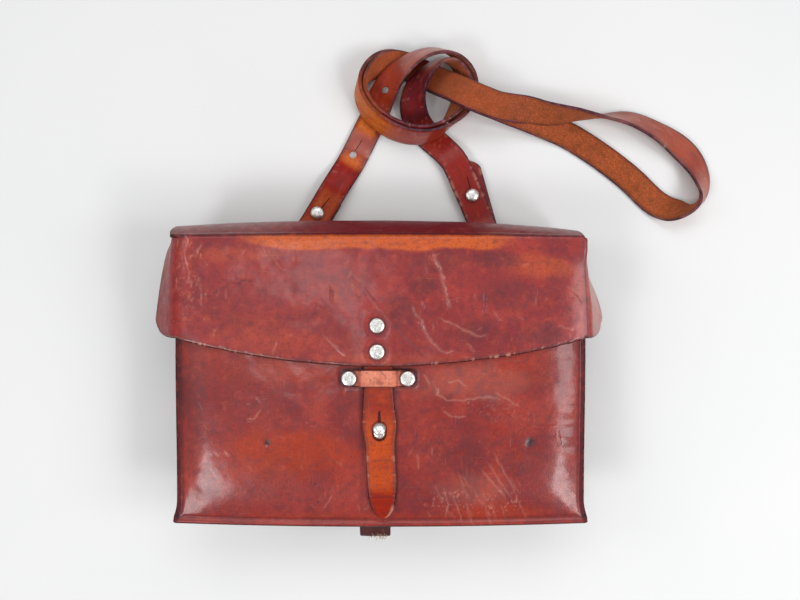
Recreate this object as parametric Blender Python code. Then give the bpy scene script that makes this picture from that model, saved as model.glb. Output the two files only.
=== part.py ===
# Leather carrying case with a flap, a button-stud closure and a long shoulder strap.
# Frame: the case lies on its back. X runs from its left to its right, Y from its bottom towards
# the flap's hinge, Z out of its front. The origin is the middle of the back panel's outer face.
# Dimensions are in millimetres, and heights are counted from the plane the case lies on, BACK_Z
# below the origin. add_axes() and mesh_object() turn them into metres in each part's frame.
import math

import bmesh
import bpy
import numpy as np

for old in list(bpy.data.objects):
    bpy.data.objects.remove(old, do_unlink=True)

MM = 0.001
GAP = 0.3  # air between neighbouring pieces

# body of the case
BODY_T = 2.8  # thickness of the panels and the flap
BACK_Z = 9.6  # outer face of the back panel
FRONT_EDGE_Z = 59.0  # top of the front panel at its rim
DOME = 6.5  # how far the front panel swells above its rim
FRONT_SEAT_Z = FRONT_EDGE_Z + DOME
MOUTH_Y = 90.0  # upper edge of gusset and front panel
WEB_X = 130.0  # outer face of the gusset's side walls
WEB_Y = -92.2  # outer face of its bottom wall
GUSSET_T = 2.4

# bending axes, each along X through (y, z)
HINGE = (99.0, BACK_Z)  # back-top edge, where the flap leaves the back panel
FOLD = (92.4, 73.0)  # front-top edge, where the flap turns over the front
TONGUE_AXIS = (-5.6, 68.7)  # where the tongue bends at the keeper's lower edge
STRAP_AXIS = (HINGE[0], 0.4)  # where the shoulder strap bends over the bag's back-top edge

# straps and metal fittings
STRAP_W, STRAP_T = 20.0, 2.6
RIVET_D, RIVET_SHAFT = 10.2, 3.2
BURR_D, BURR_T, BURR_BORE_R = 8.0, 0.7, 1.95
STUD_D = 9.6
RIVET_HOLE_R, STUD_HOLE_R = 1.9, 1.8

X_DIR, Y_DIR, Z_DIR = np.eye(3)


# ---------------------------------------------------------------- materials


def material(name, rgb, roughness, metallic=0.0):
    mat = bpy.data.materials.new(name)
    mat.use_nodes = True
    shader = mat.node_tree.nodes["Principled BSDF"]
    shader.inputs["Base Color"].default_value = (*rgb, 1.0)
    shader.inputs["Roughness"].default_value = roughness
    shader.inputs["Metallic"].default_value = metallic
    return mat


# name: (base colour, roughness)
LEATHERS = {
    "front_leather": ((0.30, 0.045, 0.028), 0.34),
    "gusset_leather": ((0.16, 0.022, 0.022), 0.42),
    "back_leather": ((0.26, 0.040, 0.026), 0.45),
    "flap_leather": ((0.33, 0.060, 0.045), 0.36),
    "keeper_leather": ((0.62, 0.22, 0.10), 0.42),
    "tongue_leather": ((0.46, 0.11, 0.03), 0.38),
    "strap_leather": ((0.36, 0.085, 0.05), 0.50),
    "anchor_leather": ((0.25, 0.040, 0.026), 0.45),
    "loop_leather": ((0.09, 0.016, 0.012), 0.5),
}
leather = {name: material(name, rgb, roughness) for name, (rgb, roughness) in LEATHERS.items()}
steel = material("nickel_steel", rgb=(0.72, 0.72, 0.71), roughness=0.28, metallic=1.0)


# ---------------------------------------------------------------- joint axes

# body: (its empty's name, (y, z) of the axis, the body it hangs on)
JOINTS = {
    "flap_top": ("axis_flap_hinge", HINGE, None),
    "flap_front": ("axis_flap_front_fold", FOLD, "flap_top"),
    "closure_tongue": ("axis_closure_tongue", TONGUE_AXIS, "flap_front"),
    "shoulder_strap": ("axis_shoulder_strap", STRAP_AXIS, None),
}


def body_origin(body):
    """The origin of a moving body's frame, or of the case's own when body is None."""
    return np.array([0.0, *JOINTS[body][1]]) if body else np.array([0.0, 0.0, BACK_Z])


def add_axes():
    axes = {}
    for body, (name, _, parent) in JOINTS.items():
        axis = bpy.data.objects.new(name, None)
        axis.location = (body_origin(body) - body_origin(parent)) * MM
        axis.empty_display_size = 0.02
        bpy.context.scene.collection.objects.link(axis)
        if parent:
            axis.parent = axes[parent]
        axes[body] = axis
    return axes


AXES = add_axes()


# ---------------------------------------------------------------- mesh builders


def mesh_object(name, verts, faces, mat, body=None, sharp_angle=32, cutter=False):
    """A closed mesh from points in mm; it hangs on its body's axis empty when it moves."""
    origin = body_origin(body)
    bm = bmesh.new()
    corners = [bm.verts.new(tuple((np.asarray(vert, float) - origin) * MM)) for vert in verts]
    for face in faces:
        bm.faces.new([corners[i] for i in face])
    bmesh.ops.recalc_face_normals(bm, faces=bm.faces)
    mesh = bpy.data.meshes.new(name)
    bm.to_mesh(mesh)
    bm.free()
    ob = bpy.data.objects.new(name, mesh)
    bpy.context.scene.collection.objects.link(ob)
    if body:
        ob.parent = AXES[body]
    if cutter:
        ob.hide_render = True
        ob.display_type = "WIRE"
    else:
        mesh.shade_smooth()
        mesh.set_sharp_from_angle(angle=math.radians(sharp_angle))
        mesh.materials.append(mat)
    return ob


def slab(name, outer, inner, mat, body=None):
    """A sheet between two point grids of the same size, closed round its rim."""
    rows, cols = outer.shape[:2]
    verts = list(outer.reshape(-1, 3)) + list(inner.reshape(-1, 3))
    layer = rows * cols
    faces = []
    for i in range(rows - 1):
        for j in range(cols - 1):
            first = i * cols + j
            quad = (first, first + 1, first + cols + 1, first + cols)
            faces.append(quad)
            faces.append(tuple(layer + v for v in reversed(quad)))
    rim = (
        [(0, j) for j in range(cols - 1)]
        + [(i, cols - 1) for i in range(rows - 1)]
        + [(rows - 1, j) for j in range(cols - 1, 0, -1)]
        + [(i, 0) for i in range(rows - 1, 0, -1)]
    )
    rim = [i * cols + j for i, j in rim]
    for here, following in zip(rim, rim[1:] + rim[:1]):
        faces.append((following, here, layer + here, layer + following))
    return mesh_object(name, verts, faces, mat, body)


def grid_normals(grid):
    """Unit normals of a point grid: column direction crossed with row direction."""
    normals = np.cross(np.gradient(grid, axis=1), np.gradient(grid, axis=0))
    return normals / np.linalg.norm(normals, axis=2)[..., None]


def loft(name, sections, mat, body=None, sharp_angle=32):
    """A solid through closed sections with the same number of points, capped at both ends."""
    points = np.asarray(sections, float)
    count, size = points.shape[:2]
    faces = [
        (i * size + j, i * size + (j + 1) % size, (i + 1) * size + (j + 1) % size, (i + 1) * size + j)
        for i in range(count - 1)
        for j in range(size)
    ]
    faces.append(tuple(reversed(range(size))))
    faces.append(tuple((count - 1) * size + j for j in range(size)))
    return mesh_object(name, list(points.reshape(-1, 3)), faces, mat, body, sharp_angle)


def bar(centre, across, normal, half_width, half_thick):
    """The four corners of a strap's section."""
    return [
        centre + across * a * half_width + normal * b * half_thick
        for a, b in ((-1, -1), (1, -1), (1, 1), (-1, 1))
    ]


def directions(line):
    """Unit tangents at the points of a line."""
    tangents = np.gradient(line, axis=0)
    return tangents / np.linalg.norm(tangents, axis=1)[:, None]


def turned(name, profile, centre, body=None, segs=14, along_y=False):
    """A steel part: a profile of (radius, height) turned about an axis through centre.
    Height runs along Z, or along -Y. Radius 0 ends are poles."""
    verts, rings = [], []
    for radius, height in profile:
        start = len(verts)
        count = segs if radius > 1e-6 else 1
        for i in range(count):
            angle = 2 * math.pi * i / segs
            a, b = radius * math.cos(angle), radius * math.sin(angle)
            offset = (a, -height, b) if along_y else (a, b, height)
            verts.append(np.add(centre, offset))
        rings.append(range(start, start + count))
    pairs = list(zip(rings, rings[1:]))
    if len(rings[0]) > 1:
        pairs.append((rings[-1], rings[0]))  # a ring: the profile closes on itself
    faces = []
    for low, high in pairs:
        for i in range(segs):
            j = (i + 1) % segs
            if len(low) == 1:
                faces.append((low[0], high[i], high[j]))
            elif len(high) == 1:
                faces.append((low[i], low[j], high[0]))
            else:
                faces.append((low[i], low[j], high[j], high[i]))
    return mesh_object(name, verts, faces, steel, body)


# ---------------------------------------------------------------- holes


def circle(x, y, radius, segs=14):
    angles = [2 * math.pi * i / segs for i in range(segs)]
    return [(x + radius * math.cos(a), y + radius * math.sin(a)) for a in angles]


def keyhole(x, y, radius, towards, length, segs=14, stretch=0.0):
    """A round hole with a slit that runs from it towards an angle: how a strap buttons over a
    stud. A worn one is stretched, away from its slit."""
    slit = 1.0
    half = math.asin(slit / 2 / radius)
    cos, sin = math.cos(towards), math.sin(towards)
    outline = []
    for i in range(segs + 1):
        angle = towards + half + (2 * math.pi - 2 * half) * i / segs
        shift = stretch if math.cos(angle - towards) < -1e-6 else 0.0
        outline.append((
            x + radius * math.cos(angle) - shift * cos,
            y + radius * math.sin(angle) - shift * sin,
        ))
    reach = radius + length
    for side in (-1, 1):
        offset = side * slit / 2
        outline.append((x + cos * reach - sin * offset, y + sin * reach + cos * offset))
    return outline


def prism_cutter(name, outline, low, high, body=None, along_y=False):
    """A hidden prism: an (x, y) outline between two heights, or an (x, z) one along Y."""
    size = len(outline)
    verts = [(a, h, b) if along_y else (a, b, h) for h in (low, high) for a, b in outline]
    faces = [tuple(reversed(range(size))), tuple(range(size, 2 * size))]
    faces += [(i, (i + 1) % size, size + (i + 1) % size, size + i) for i in range(size)]
    return mesh_object(name, verts, faces, None, body, cutter=True)


def cut(ob, cutter, name):
    modifier = ob.modifiers.new(name, "BOOLEAN")
    modifier.operation = "DIFFERENCE"
    modifier.solver = "EXACT"
    modifier.object = cutter


def hole(ob, name, x, y, radius, low, high, body=None):
    cut(ob, prism_cutter(name, circle(x, y, radius), low, high, body), name)


# ---------------------------------------------------------------- fasteners

BURR_PROFILE = [
    (BURR_BORE_R, 0), (BURR_D / 2, 0), (BURR_D / 2, BURR_T), (BURR_BORE_R, BURR_T),
]


def rivet(name, x, y, seat_z, depth, body=None, up=1):
    """A rivet with a shallow domed cap on seat_z; its shaft runs depth mm into the leather."""
    cap, shaft = RIVET_D / 2, RIVET_SHAFT / 2
    profile = [
        (0, -depth), (shaft, -depth), (shaft, 0),
        (cap, 0), (cap, 0.55), (cap - 1.6, 1.2), (0, 1.35),
    ]
    turned(name, [(radius, up * height) for radius, height in profile], (x, y, seat_z), body)


def burr(name, x, y, low_z, body=None):
    """The washer that a rivet's shaft ends in."""
    turned(name, BURR_PROFILE, (x, y, low_z), body)


def button_stud(name, x, y, seat_z, neck, body=None):
    """A button stud: foot, waist and a flat round head. Its bore takes the screw from below."""
    head, waist, bore = STUD_D / 2, 2.3, 1.8
    profile = [
        (0, neck - 0.2), (bore, neck - 0.2), (bore, 0), (waist, 0), (waist, neck - 0.4),
        (head, neck + 0.5), (head, neck + 1.5), (head - 1.3, neck + 2.6), (0, neck + 3.0),
    ]
    turned(name, profile, (x, y, seat_z), body, segs=16)


def stud_screw(name, x, y, under_z, length, body=None):
    """The screw that holds a stud: head under the leather at under_z, shank length mm up."""
    shank, head = 1.5, 4.0
    profile = [
        (0, length), (shank, length), (shank, 0),
        (head, 0), (head, -0.6), (head - 0.6, -0.95), (0, -0.95),
    ]
    turned(name, profile, (x, y, under_z), body)


# ---------------------------------------------------------------- outline of the body

MOUTH_HALF_W, BELLY_HALF_W = 132.3, 135.8  # the rim under the flap, and below it
LOW_NARROWING = 1.1  # the rim's slow narrowing towards the bottom
CORNER_FLARE, FLARE_Y = 3.3, -80.0  # the rim flares below FLARE_Y
BOTTOM_Y, BOTTOM_SAG = -96.2, 2.4  # lower rim at BOTTOM_SPAN, and its sag in the middle
BOTTOM_SPAN = 134.0
DOME_RUN = 13.0  # distance from the rim over which the front panel rises
BACK_LIFT = 0.4  # the back panel is drawn in a little where the strap anchors sit


def smooth_step(part):
    part = min(1.0, max(0.0, part))
    return part * part * (3 - 2 * part)


def rim_half_width(y):
    """Half width of the rim: narrow under the flap, wider below it, flared at the corners."""
    width = MOUTH_HALF_W + (BELLY_HALF_W - MOUTH_HALF_W) * smooth_step((55.0 - y) / 30.0)
    width -= LOW_NARROWING * smooth_step((20.0 - y) / 100.0)
    if y < FLARE_Y:
        width += CORNER_FLARE * min(1.2, (FLARE_Y - y) / 15.0) ** 2
    return width


def bottom_edge(x):
    return BOTTOM_Y - BOTTOM_SAG * (1 - (x / BOTTOM_SPAN) ** 2)


def back_lift(y):
    return BACK_LIFT * smooth_step((y - 52.0) / 10.0)


# ---------------------------------------------------------------- panels


def panel_grid(columns, rows, top_y):
    """Points over the panel's outline: from the bottom edge up, and from left to right."""
    grid = np.zeros((rows + 1, columns + 1, 3))
    for i in range(rows + 1):
        rise = (i / rows) ** 1.25
        for j in range(columns + 1):
            across = -1 + 2 * j / columns
            # closer together at the sides
            across = math.copysign(1 - (1 - abs(across)) ** 1.35, across)
            y = top_y
            for _ in range(4):  # the edge's height depends on x, and the width on y
                low = bottom_edge(across * rim_half_width(y))
                y = low + rise * (top_y - low)
            grid[i, j] = (across * rim_half_width(y), y, 0)
    return grid


def panel(name, columns, rows, top_y, under_z, mat):
    """A panel whose lower face lies at the height under_z(x, y)."""
    lower = panel_grid(columns, rows, top_y)
    lower[..., 2] = [[under_z(x, y) for x, y, _ in row] for row in lower]
    return slab(name, lower + BODY_T * Z_DIR, lower, mat)


def front_under_z(x, y):
    from_side = max(rim_half_width(y) - abs(x), 0)
    from_bottom = max(y - bottom_edge(x), 0)
    swell = DOME * math.tanh(from_side / DOME_RUN) * math.tanh(from_bottom / DOME_RUN)
    return FRONT_EDGE_Z + swell - BODY_T


def build_front_panel():
    return panel("front_panel", 20, 12, MOUTH_Y, front_under_z, leather["front_leather"])


def build_back_panel():
    return panel(
        "back_panel", 12, 9, HINGE[0] - GAP,
        lambda x, y: BACK_Z + back_lift(y), leather["back_leather"],
    )


# ---------------------------------------------------------------- gusset

WEB_R = 10.0  # radius of the walls' lower corners
FRONT_FLANGE_Z = 53.5  # underside of the front flange
CORNER_X = 136.0  # where the flanges' side rim meets their bottom rim


def gusset_stations():
    """(wall point, rim point) pairs in (x, y), down the right side and up the left one."""
    arc_x, arc_y = WEB_X - WEB_R, WEB_Y + WEB_R
    right = [((WEB_X, y), (rim_half_width(y), y)) for y in np.linspace(MOUTH_Y, arc_y, 12)]
    for k in range(1, 6):
        angle = math.radians(90 * k / 6)
        wall = (arc_x + WEB_R * math.cos(angle), arc_y - WEB_R * math.sin(angle))
        if k < 3:
            y = arc_y + (BOTTOM_Y + 0.6 - arc_y) * k / 3
            rim = (rim_half_width(y), y)
        elif k == 3:
            y = bottom_edge(CORNER_X)
            rim = (rim_half_width(y), y)
        else:
            x = CORNER_X - (CORNER_X - arc_x) * (k - 3) / 3
            rim = (x, bottom_edge(x))
        right.append((wall, rim))
    bottom = [((x, WEB_Y), (x, bottom_edge(x))) for x in np.linspace(arc_x, -arc_x, 14)]
    left = [((-wall[0], wall[1]), (-rim[0], rim[1])) for wall, rim in reversed(right)]
    return right + bottom + left


def build_gusset():
    """One strip in a U, with flanges turned outwards to the panels."""
    stations = gusset_stations()
    tangents = directions(np.array([wall for wall, _ in stations]))
    back_z = BACK_Z + BODY_T + GAP
    front_z = FRONT_FLANGE_Z
    sections = []
    for ((wall_x, wall_y), (rim_x, rim_y)), (tan_x, tan_y) in zip(stations, tangents):
        # the inner face stands square to the wall
        in_x, in_y = wall_x + tan_y * GUSSET_T, wall_y - tan_x * GUSSET_T
        wall_z = back_z + back_lift(wall_y)
        rim_z = back_z + back_lift(rim_y)
        sections.append([
            (in_x, in_y, wall_z),
            (rim_x, rim_y, rim_z),
            (rim_x, rim_y, rim_z + GUSSET_T),
            (wall_x, wall_y, wall_z + GUSSET_T),
            (wall_x, wall_y, front_z),
            (rim_x, rim_y, front_z),
            (rim_x, rim_y, front_z + GUSSET_T),
            (in_x, in_y, front_z + GUSSET_T),
        ])
    return loft("gusset", sections, leather["gusset_leather"])


# ---------------------------------------------------------------- flap

FLAP_TOP_X = 133.2  # half width of the part over the case's top
FLAP_BULGE = 9.9  # how far that part swells in the middle
BULGE_LOSS_LEFT, BULGE_LOSS_RIGHT = 5.9, 9.9  # swelling lost at 133 mm to either side
FLAP_X = 134.7  # the creases between the front and the ears
FLAP_LOW_Y, FLAP_SIDE_Y = 8.5, 26.8  # the flap's edge: lowest in the middle, higher at the sides
FLAP_SAG = 3.6  # how far the free edge sinks towards the case
FOLD_CLEAR = 0.15  # distance from the fold to either part of the flap
CORNER_DROP, CORNER_X0 = 3.0, 129.0  # the fold's corners are rounded down from CORNER_X0 out
EAR_DEPTH = 40.0
EAR_TOP_SLOPE, EAR_LOW_RISE = 5.0, 13.0  # how far an ear's two ends close in at its rim
# Columns of the left half, as flap_point's across: ear, then front
FLAP_COLS = [-2, -1.7, -1.35, -1.08, -1, -0.965, -0.85, -0.66, -0.5, -0.35, -0.22, -0.1]


def build_flap_top():
    columns, rows = 16, 9
    start_z = BACK_Z + BODY_T + BACK_LIFT + GAP
    outer = np.zeros((rows + 1, columns + 1, 3))
    for i in range(rows + 1):
        z = start_z + (FOLD[1] - 0.1 - start_z) * i / rows
        rise = (z - HINGE[1]) / (FOLD[1] - HINGE[1])
        for j in range(columns + 1):
            x = (-1 + 2 * j / columns) * FLAP_TOP_X
            loss = BULGE_LOSS_LEFT if x < 0 else BULGE_LOSS_RIGHT
            bulge = FLAP_BULGE - loss * (x / 133.0) ** 2
            y = HINGE[0] + (FOLD[0] + FOLD_CLEAR - HINGE[0]) * rise + bulge * 4 * rise * (1 - rise)
            outer[i, j] = (x, y, z)
    normals = -grid_normals(outer)
    normals[..., 0] = 0.0  # the thickness is taken in the YZ plane
    normals /= np.linalg.norm(normals, axis=2)[..., None]
    inner = outer - normals * BODY_T
    # flat on the back panel's side, and mitred at the fold
    inner[0, :, 2] = start_z
    inner[-1, :, 1] = FOLD[0] - 2.45
    inner[-1, :, 2] = FOLD[1] - BODY_T
    slab("flap_top", outer, inner, leather["flap_leather"], "flap_top")


def ear_angle(side, y):
    """How far an ear leans out from straight back: the left one hangs wider than the right."""
    drop = smooth_step((88.0 - y) / 50.0)
    return math.radians(18 + 14 * drop) if side < 0 else math.radians(6 + 18 * drop)


def flap_point(across, down):
    """across runs from the left ear's rim (-2) over the creases (-1, 1) to the right ear's
    rim (2); down runs from the fold (0) to the edge (1)."""
    side = -1 if across < 0 else 1
    if abs(across) <= 1:
        x = FLAP_X * across
        corner = smooth_step((abs(x) - CORNER_X0) / (FLAP_X - CORNER_X0))
        top_y = FOLD[0] - FOLD_CLEAR - CORNER_DROP * corner
        low_y = FLAP_LOW_Y + (FLAP_SIDE_Y - FLAP_LOW_Y) * (x / FLAP_X) ** 2
        y = top_y + (low_y - top_y) * down
        sag = FLAP_SAG * ((top_y - y) / (FOLD[0] - low_y)) ** 2
        # the closure strap keeps the middle from sinking
        return (x, y, FOLD[1] - sag * smooth_step((abs(x) - 13.0) / 30.0))
    out = abs(across) - 1
    top_y = FOLD[0] - FOLD_CLEAR - CORNER_DROP - EAR_TOP_SLOPE * out
    low_y = FLAP_SIDE_Y + EAR_LOW_RISE * out**2
    y = top_y + (low_y - top_y) * down
    sag = FLAP_SAG * ((top_y - y) / (FOLD[0] - FLAP_SIDE_Y)) ** 2 * (1 - 0.5 * out)
    lean = ear_angle(side, y)
    depth = EAR_DEPTH * out
    return (
        side * (FLAP_X + depth * math.sin(lean)), y, FOLD[1] - sag - depth * math.cos(lean),
    )


def build_flap_front():
    """The part over the front, with the two ears that turn back over the gusset."""
    cols = FLAP_COLS + [-across for across in reversed(FLAP_COLS)]
    rows = np.linspace(0, 1, 10)
    outer = np.array([[flap_point(across, down) for across in cols] for down in rows])
    inner = outer + grid_normals(outer) * BODY_T
    # the mitre at the fold: the inner edge stands back under the outer one
    for j, across in enumerate(cols):
        if abs(across) <= 1:
            inner[0, j, 1] = outer[0, j, 1] - 2.6
    return slab("flap_front", outer, inner, leather["flap_leather"], "flap_front")


# ---------------------------------------------------------------- closure strap

TONGUE_Z = 67.2  # middle of the leather where it runs through the keeper
STRAP_RISE = 1.4  # the fixed part rises by this to lie against the flap
AXIS_CLEAR = 0.2  # distance from the bending axis to either part
TONGUE_WIDE, TONGUE_WIDE_Y = 2.9, -32.0  # added width, and where it is reached
TONGUE_TAPER = 4.1  # width lost again below there
TIP_Y, TIP_R, TIP_MIN_W = -79.6, 9.6, 2.4  # the round tip
TONGUE_END_Y = -89.0
STUD_AT = (-0.5, -31.6)
FLAP_RIVET_X = -1.9
FLAP_RIVET_Y = {"upper": 35.4, "lower": 18.4}


def flat_strap(name, stations, width, mid_z, body):
    """A strap along Y through the stations; width and mid_z are functions of y."""
    sections = []
    for y in stations:
        centre_x = -1.1 + 2.1 * min(1.0, max(0.0, -y / 88.0))
        centre = np.array([centre_x, y, mid_z(y)])
        sections.append(bar(centre, X_DIR, Z_DIR, width(y) / 2, STRAP_T / 2))
    return loft(name, sections, leather["tongue_leather"], body)


def build_closure_strap():
    """The part fixed under the flap."""
    return flat_strap(
        "closure_strap",
        [*np.linspace(48.0, 14.0, 5), *np.linspace(12.0, 5.0, 6), TONGUE_AXIS[0] + AXIS_CLEAR],
        lambda y: STRAP_W,
        lambda y: TONGUE_Z + STRAP_RISE * smooth_step((y - 6.5) / 6.0),
        "flap_front",
    )


def tongue_width(y):
    if y > TONGUE_WIDE_Y:
        return STRAP_W + TONGUE_WIDE * smooth_step((-y - 6) / 26.0)
    width = STRAP_W + TONGUE_WIDE - TONGUE_TAPER * smooth_step((TONGUE_WIDE_Y - y) / 42.0)
    if y < TIP_Y:
        width *= math.sqrt(max(0.0, 1 - ((TIP_Y - y) / TIP_R) ** 2))
    return max(width, TIP_MIN_W)


def build_closure_tongue():
    """The free end, which buttons onto the stud."""
    body = "closure_tongue"
    tongue = flat_strap(
        body,
        [*np.linspace(TONGUE_AXIS[0] - AXIS_CLEAR, -78.0, 16),
         -80.5, -83.0, -85.2, -87.0, -88.3, TONGUE_END_Y],
        tongue_width,
        lambda y: TONGUE_Z - 1.2 * smooth_step((-60 - y) / 29.0),
        body,
    )
    outline = keyhole(
        STUD_AT[0], STUD_AT[1] - 0.1, radius=5.3, towards=math.pi / 2, length=6.0,
        segs=18, stretch=3.2,
    )
    cut(tongue, prism_cutter("tongue_keyhole_cut", outline, 60, 75, body), "keyhole")


def add_flap_rivets(flap_front, closure_strap):
    body = "flap_front"
    strap_under_z = TONGUE_Z + STRAP_RISE - STRAP_T / 2
    for place, y in FLAP_RIVET_Y.items():
        name, x = f"flap_rivet_{place}", FLAP_RIVET_X
        hole(flap_front, name + "_cut_a", x, y, RIVET_HOLE_R, 68, 78, body)
        hole(closure_strap, name + "_cut_b", x, y, RIVET_HOLE_R, 62, 71, body)
        rivet(name, x, y, FOLD[1] + GAP, 7.0, body)
        burr(f"flap_burr_{place}", x, y, strap_under_z - GAP - BURR_T, body)


# ---------------------------------------------------------------- keeper and closure stud

KEEPER_X, KEEPER_Y = -1.3, 0.8
KEEPER_L, KEEPER_H, KEEPER_T = 51.4, 11.4, 2.0  # along X, along Y, thickness
KEEPER_CORNER_R = 4.0
KEEPER_RISE = 3.15  # how far its middle arches up over the tongue
KEEPER_RIVET_X = {"left": -20.4, "right": 18.0}
KEEPER_RIVET_Y = 0.6


def build_keeper(front_panel):
    sections = []
    for k in range(25):
        x = (-1 + 2 * k / 24) * KEEPER_L / 2
        half = KEEPER_H / 2
        from_end = KEEPER_L / 2 - abs(x)
        if from_end < KEEPER_CORNER_R:
            chord = KEEPER_CORNER_R**2 - (KEEPER_CORNER_R - from_end) ** 2
            half += math.sqrt(max(0.0, chord)) - KEEPER_CORNER_R
        rise = KEEPER_RISE * (1 - smooth_step((abs(x) - 10.9) / 2.9))
        z = FRONT_SEAT_Z + GAP + rise + KEEPER_T / 2
        centre = np.array([KEEPER_X + x, KEEPER_Y, z])
        sections.append(bar(centre, Y_DIR, Z_DIR, half, KEEPER_T / 2))
    keeper = loft("keeper_loop", sections, leather["keeper_leather"])
    y = KEEPER_RIVET_Y
    for side, x in KEEPER_RIVET_X.items():
        hole(keeper, f"keeper_{side}_cut_a", x, y, RIVET_HOLE_R, 64, 70)
        hole(front_panel, f"keeper_{side}_cut_b", x, y, RIVET_HOLE_R, 58, 68)
        rivet(f"keeper_rivet_{side}", x, y, FRONT_SEAT_Z + GAP + KEEPER_T + GAP, 6.8)
        burr(f"keeper_burr_{side}", x, y, FRONT_SEAT_Z - BODY_T - GAP - BURR_T)


def build_closure_stud(front_panel):
    hole(front_panel, "closure_stud_cut", *STUD_AT, STUD_HOLE_R, 58, 68)
    button_stud("closure_stud", *STUD_AT, FRONT_SEAT_Z + GAP, neck=3.6)
    stud_screw("closure_stud_screw", *STUD_AT, FRONT_SEAT_Z - BODY_T - GAP, length=6.0)


# ---------------------------------------------------------------- bottom loop

LOOP_X, LOOP_W, LOOP_T = -4.0, 21.0, 2.2
LOOP_MID_Z, LOOP_HALF_H = 36.0, 4.6
LOOP_STEP, LOOP_REACH = 2.0, 10.8  # the bend starts this far off the wall, and goes on this far
LOOP_RIVET_Z = {"back": 24.0, "front": 48.0}


def build_bottom_loop(gusset):
    """A strip riveted to the bottom wall at both ends, bent outwards between them."""
    wall_y = WEB_Y - GAP - LOOP_T / 2
    line = [(wall_y, 20.0), (wall_y, 29.0)]
    for k in range(9):
        angle = math.pi * k / 8
        y = wall_y - LOOP_STEP - LOOP_REACH * math.sin(angle)
        line.append((y, LOOP_MID_Z - LOOP_HALF_H * math.cos(angle)))
    line += [(wall_y, 43.0), (wall_y, 52.0)]
    sections = []
    for (y, z), (tan_y, tan_z) in zip(line, directions(np.array(line))):
        centre, normal = np.array([LOOP_X, y, z]), np.array([0, -tan_z, tan_y])
        sections.append(bar(centre, X_DIR, normal, LOOP_W / 2, LOOP_T / 2))
    loop = loft("bottom_loop", sections, leather["loop_leather"])

    cap, shaft, depth = 4.0, RIVET_SHAFT / 2, 7.0
    profile = [
        (0, -depth), (shaft, -depth), (shaft, 0),
        (cap, 0), (cap, 0.5), (cap - 0.8, 1.0), (0, 1.3),
    ]
    rivet_y = WEB_Y - GAP - LOOP_T - GAP
    burr_y = WEB_Y + GUSSET_T + GAP + BURR_T
    for side, z in LOOP_RIVET_Z.items():
        cutter = prism_cutter(
            f"bottom_loop_{side}_cut", circle(LOOP_X, z, RIVET_HOLE_R),
            WEB_Y - 6, WEB_Y + 6, along_y=True,
        )
        cut(loop, cutter, "rivet_hole")
        cut(gusset, cutter, f"loop_hole_{side}")
        turned(f"bottom_loop_rivet_{side}", profile, (LOOP_X, rivet_y, z), along_y=True)
        turned(f"bottom_loop_burr_{side}", BURR_PROFILE, (LOOP_X, burr_y, z), along_y=True)


# ---------------------------------------------------------------- shoulder strap
# Guide points (x, y, z, roll): the strap's centre line and how far it is rolled about it. Roll 0
# lies flat with the grain up, 90 stands on edge, 180 lies flat with the flesh side up.
LEFT_GUIDE = [
    (-54.7, 99.2, 8.1, 0), (-48.5, 109.4, 5.5, 0), (-41.1, 121.8, 5.5, 0), (-33.6, 134.3, 5.3, 0),
    (-27.5, 144.6, 2.3, 0), (-21.8, 154.1, 1.8, 0), (-11.5, 174.7, 1.5, 0), (-4.5, 189.3, 1.6, 0),
    (-1.6, 196.8, 3.6, 2), (2.5, 204.5, 8.0, 10), (8.7, 212.4, 13.8, 27), (18.0, 220.7, 17.4, 46),
    (30.1, 227.7, 17.6, 58), (43.7, 230.1, 15.6, 70), (54.6, 226.3, 12.4, 88), (61.3, 217.0, 9.8, 112),
    (62.8, 205.0, 8.8, 130), (59.9, 193.4, 9.2, 130), (54.0, 182.9, 10.8, 112), (45.9, 174.8, 13.6, 90),
    (34.4, 169.1, 15.2, 74), (20.1, 168.8, 15.2, 67), (5.5, 173.8, 15.0, 64), (-7.4, 183.1, 14.8, 65),
    (-15.6, 195.4, 14.4, 71), (-17.4, 206.4, 13.4, 81), (-12.9, 216.3, 11.2, 98), (-4.3, 222.1, 8.2, 127),
    (5.7, 224.3, 4.4, 157), (17.4, 222.0, 1.9, 178), (27.6, 217.4, 1.6, 180), (37.8, 212.5, 2.2, 180),
    (45.5, 207.5, 7.4, 180), (51.9, 202.7, 16.2, 180), (58.9, 197.8, 22.6, 180), (69.4, 193.2, 23.4, 180),
    (80.4, 189.9, 19.2, 180), (93.4, 186.5, 12.4, 180),
]
RIGHT_GUIDE = [
    (75.5, 99.2, 8.1, 0), (71.4, 109.3, 5.5, 0), (66.0, 122.6, 5.5, 0), (60.0, 136.0, 5.5, 0),
    (56.6, 144.2, 5.5, 0), (51.7, 153.4, 5.4, 0), (47.2, 158.9, 4.3, 0), (42.6, 163.6, 2.2, 0),
    (35.3, 169.9, 1.5, 0), (26.1, 180.1, 3.4, 4), (22.4, 190.7, 8.0, 14), (23.0, 200.3, 13.2, 30),
    (27.2, 209.4, 17.0, 48), (34.3, 217.8, 17.6, 62), (43.0, 223.5, 16.0, 76),
]
BIGHT_GUIDE = [
    (104.8, 189.4, 12.6, 180), (115.9, 186.5, 10.8, 178), (127.3, 184.6, 11.4, 160),
    (139.2, 184.1, 12.8, 124), (156.2, 184.0, 10.6, 80), (179.8, 182.7, 8.4, 48),
    (198.8, 174.2, 7.6, 38), (219.3, 160.3, 4.6, 14), (228.1, 148.5, 5.6, 26),
    (231.4, 137.7, 7.4, 40), (231.3, 128.5, 8.8, 54), (227.2, 120.8, 10.1, 88),
    (219.3, 117.7, 9.0, 122), (208.6, 117.8, 4.0, 164), (198.4, 123.5, 1.6, 180),
    (180.9, 140.4, 1.5, 180), (156.8, 158.8, 1.5, 180), (134.2, 172.7, 1.7, 180),
    (119.2, 178.6, 3.6, 180), (106.3, 182.9, 7.6, 180),
]
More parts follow.
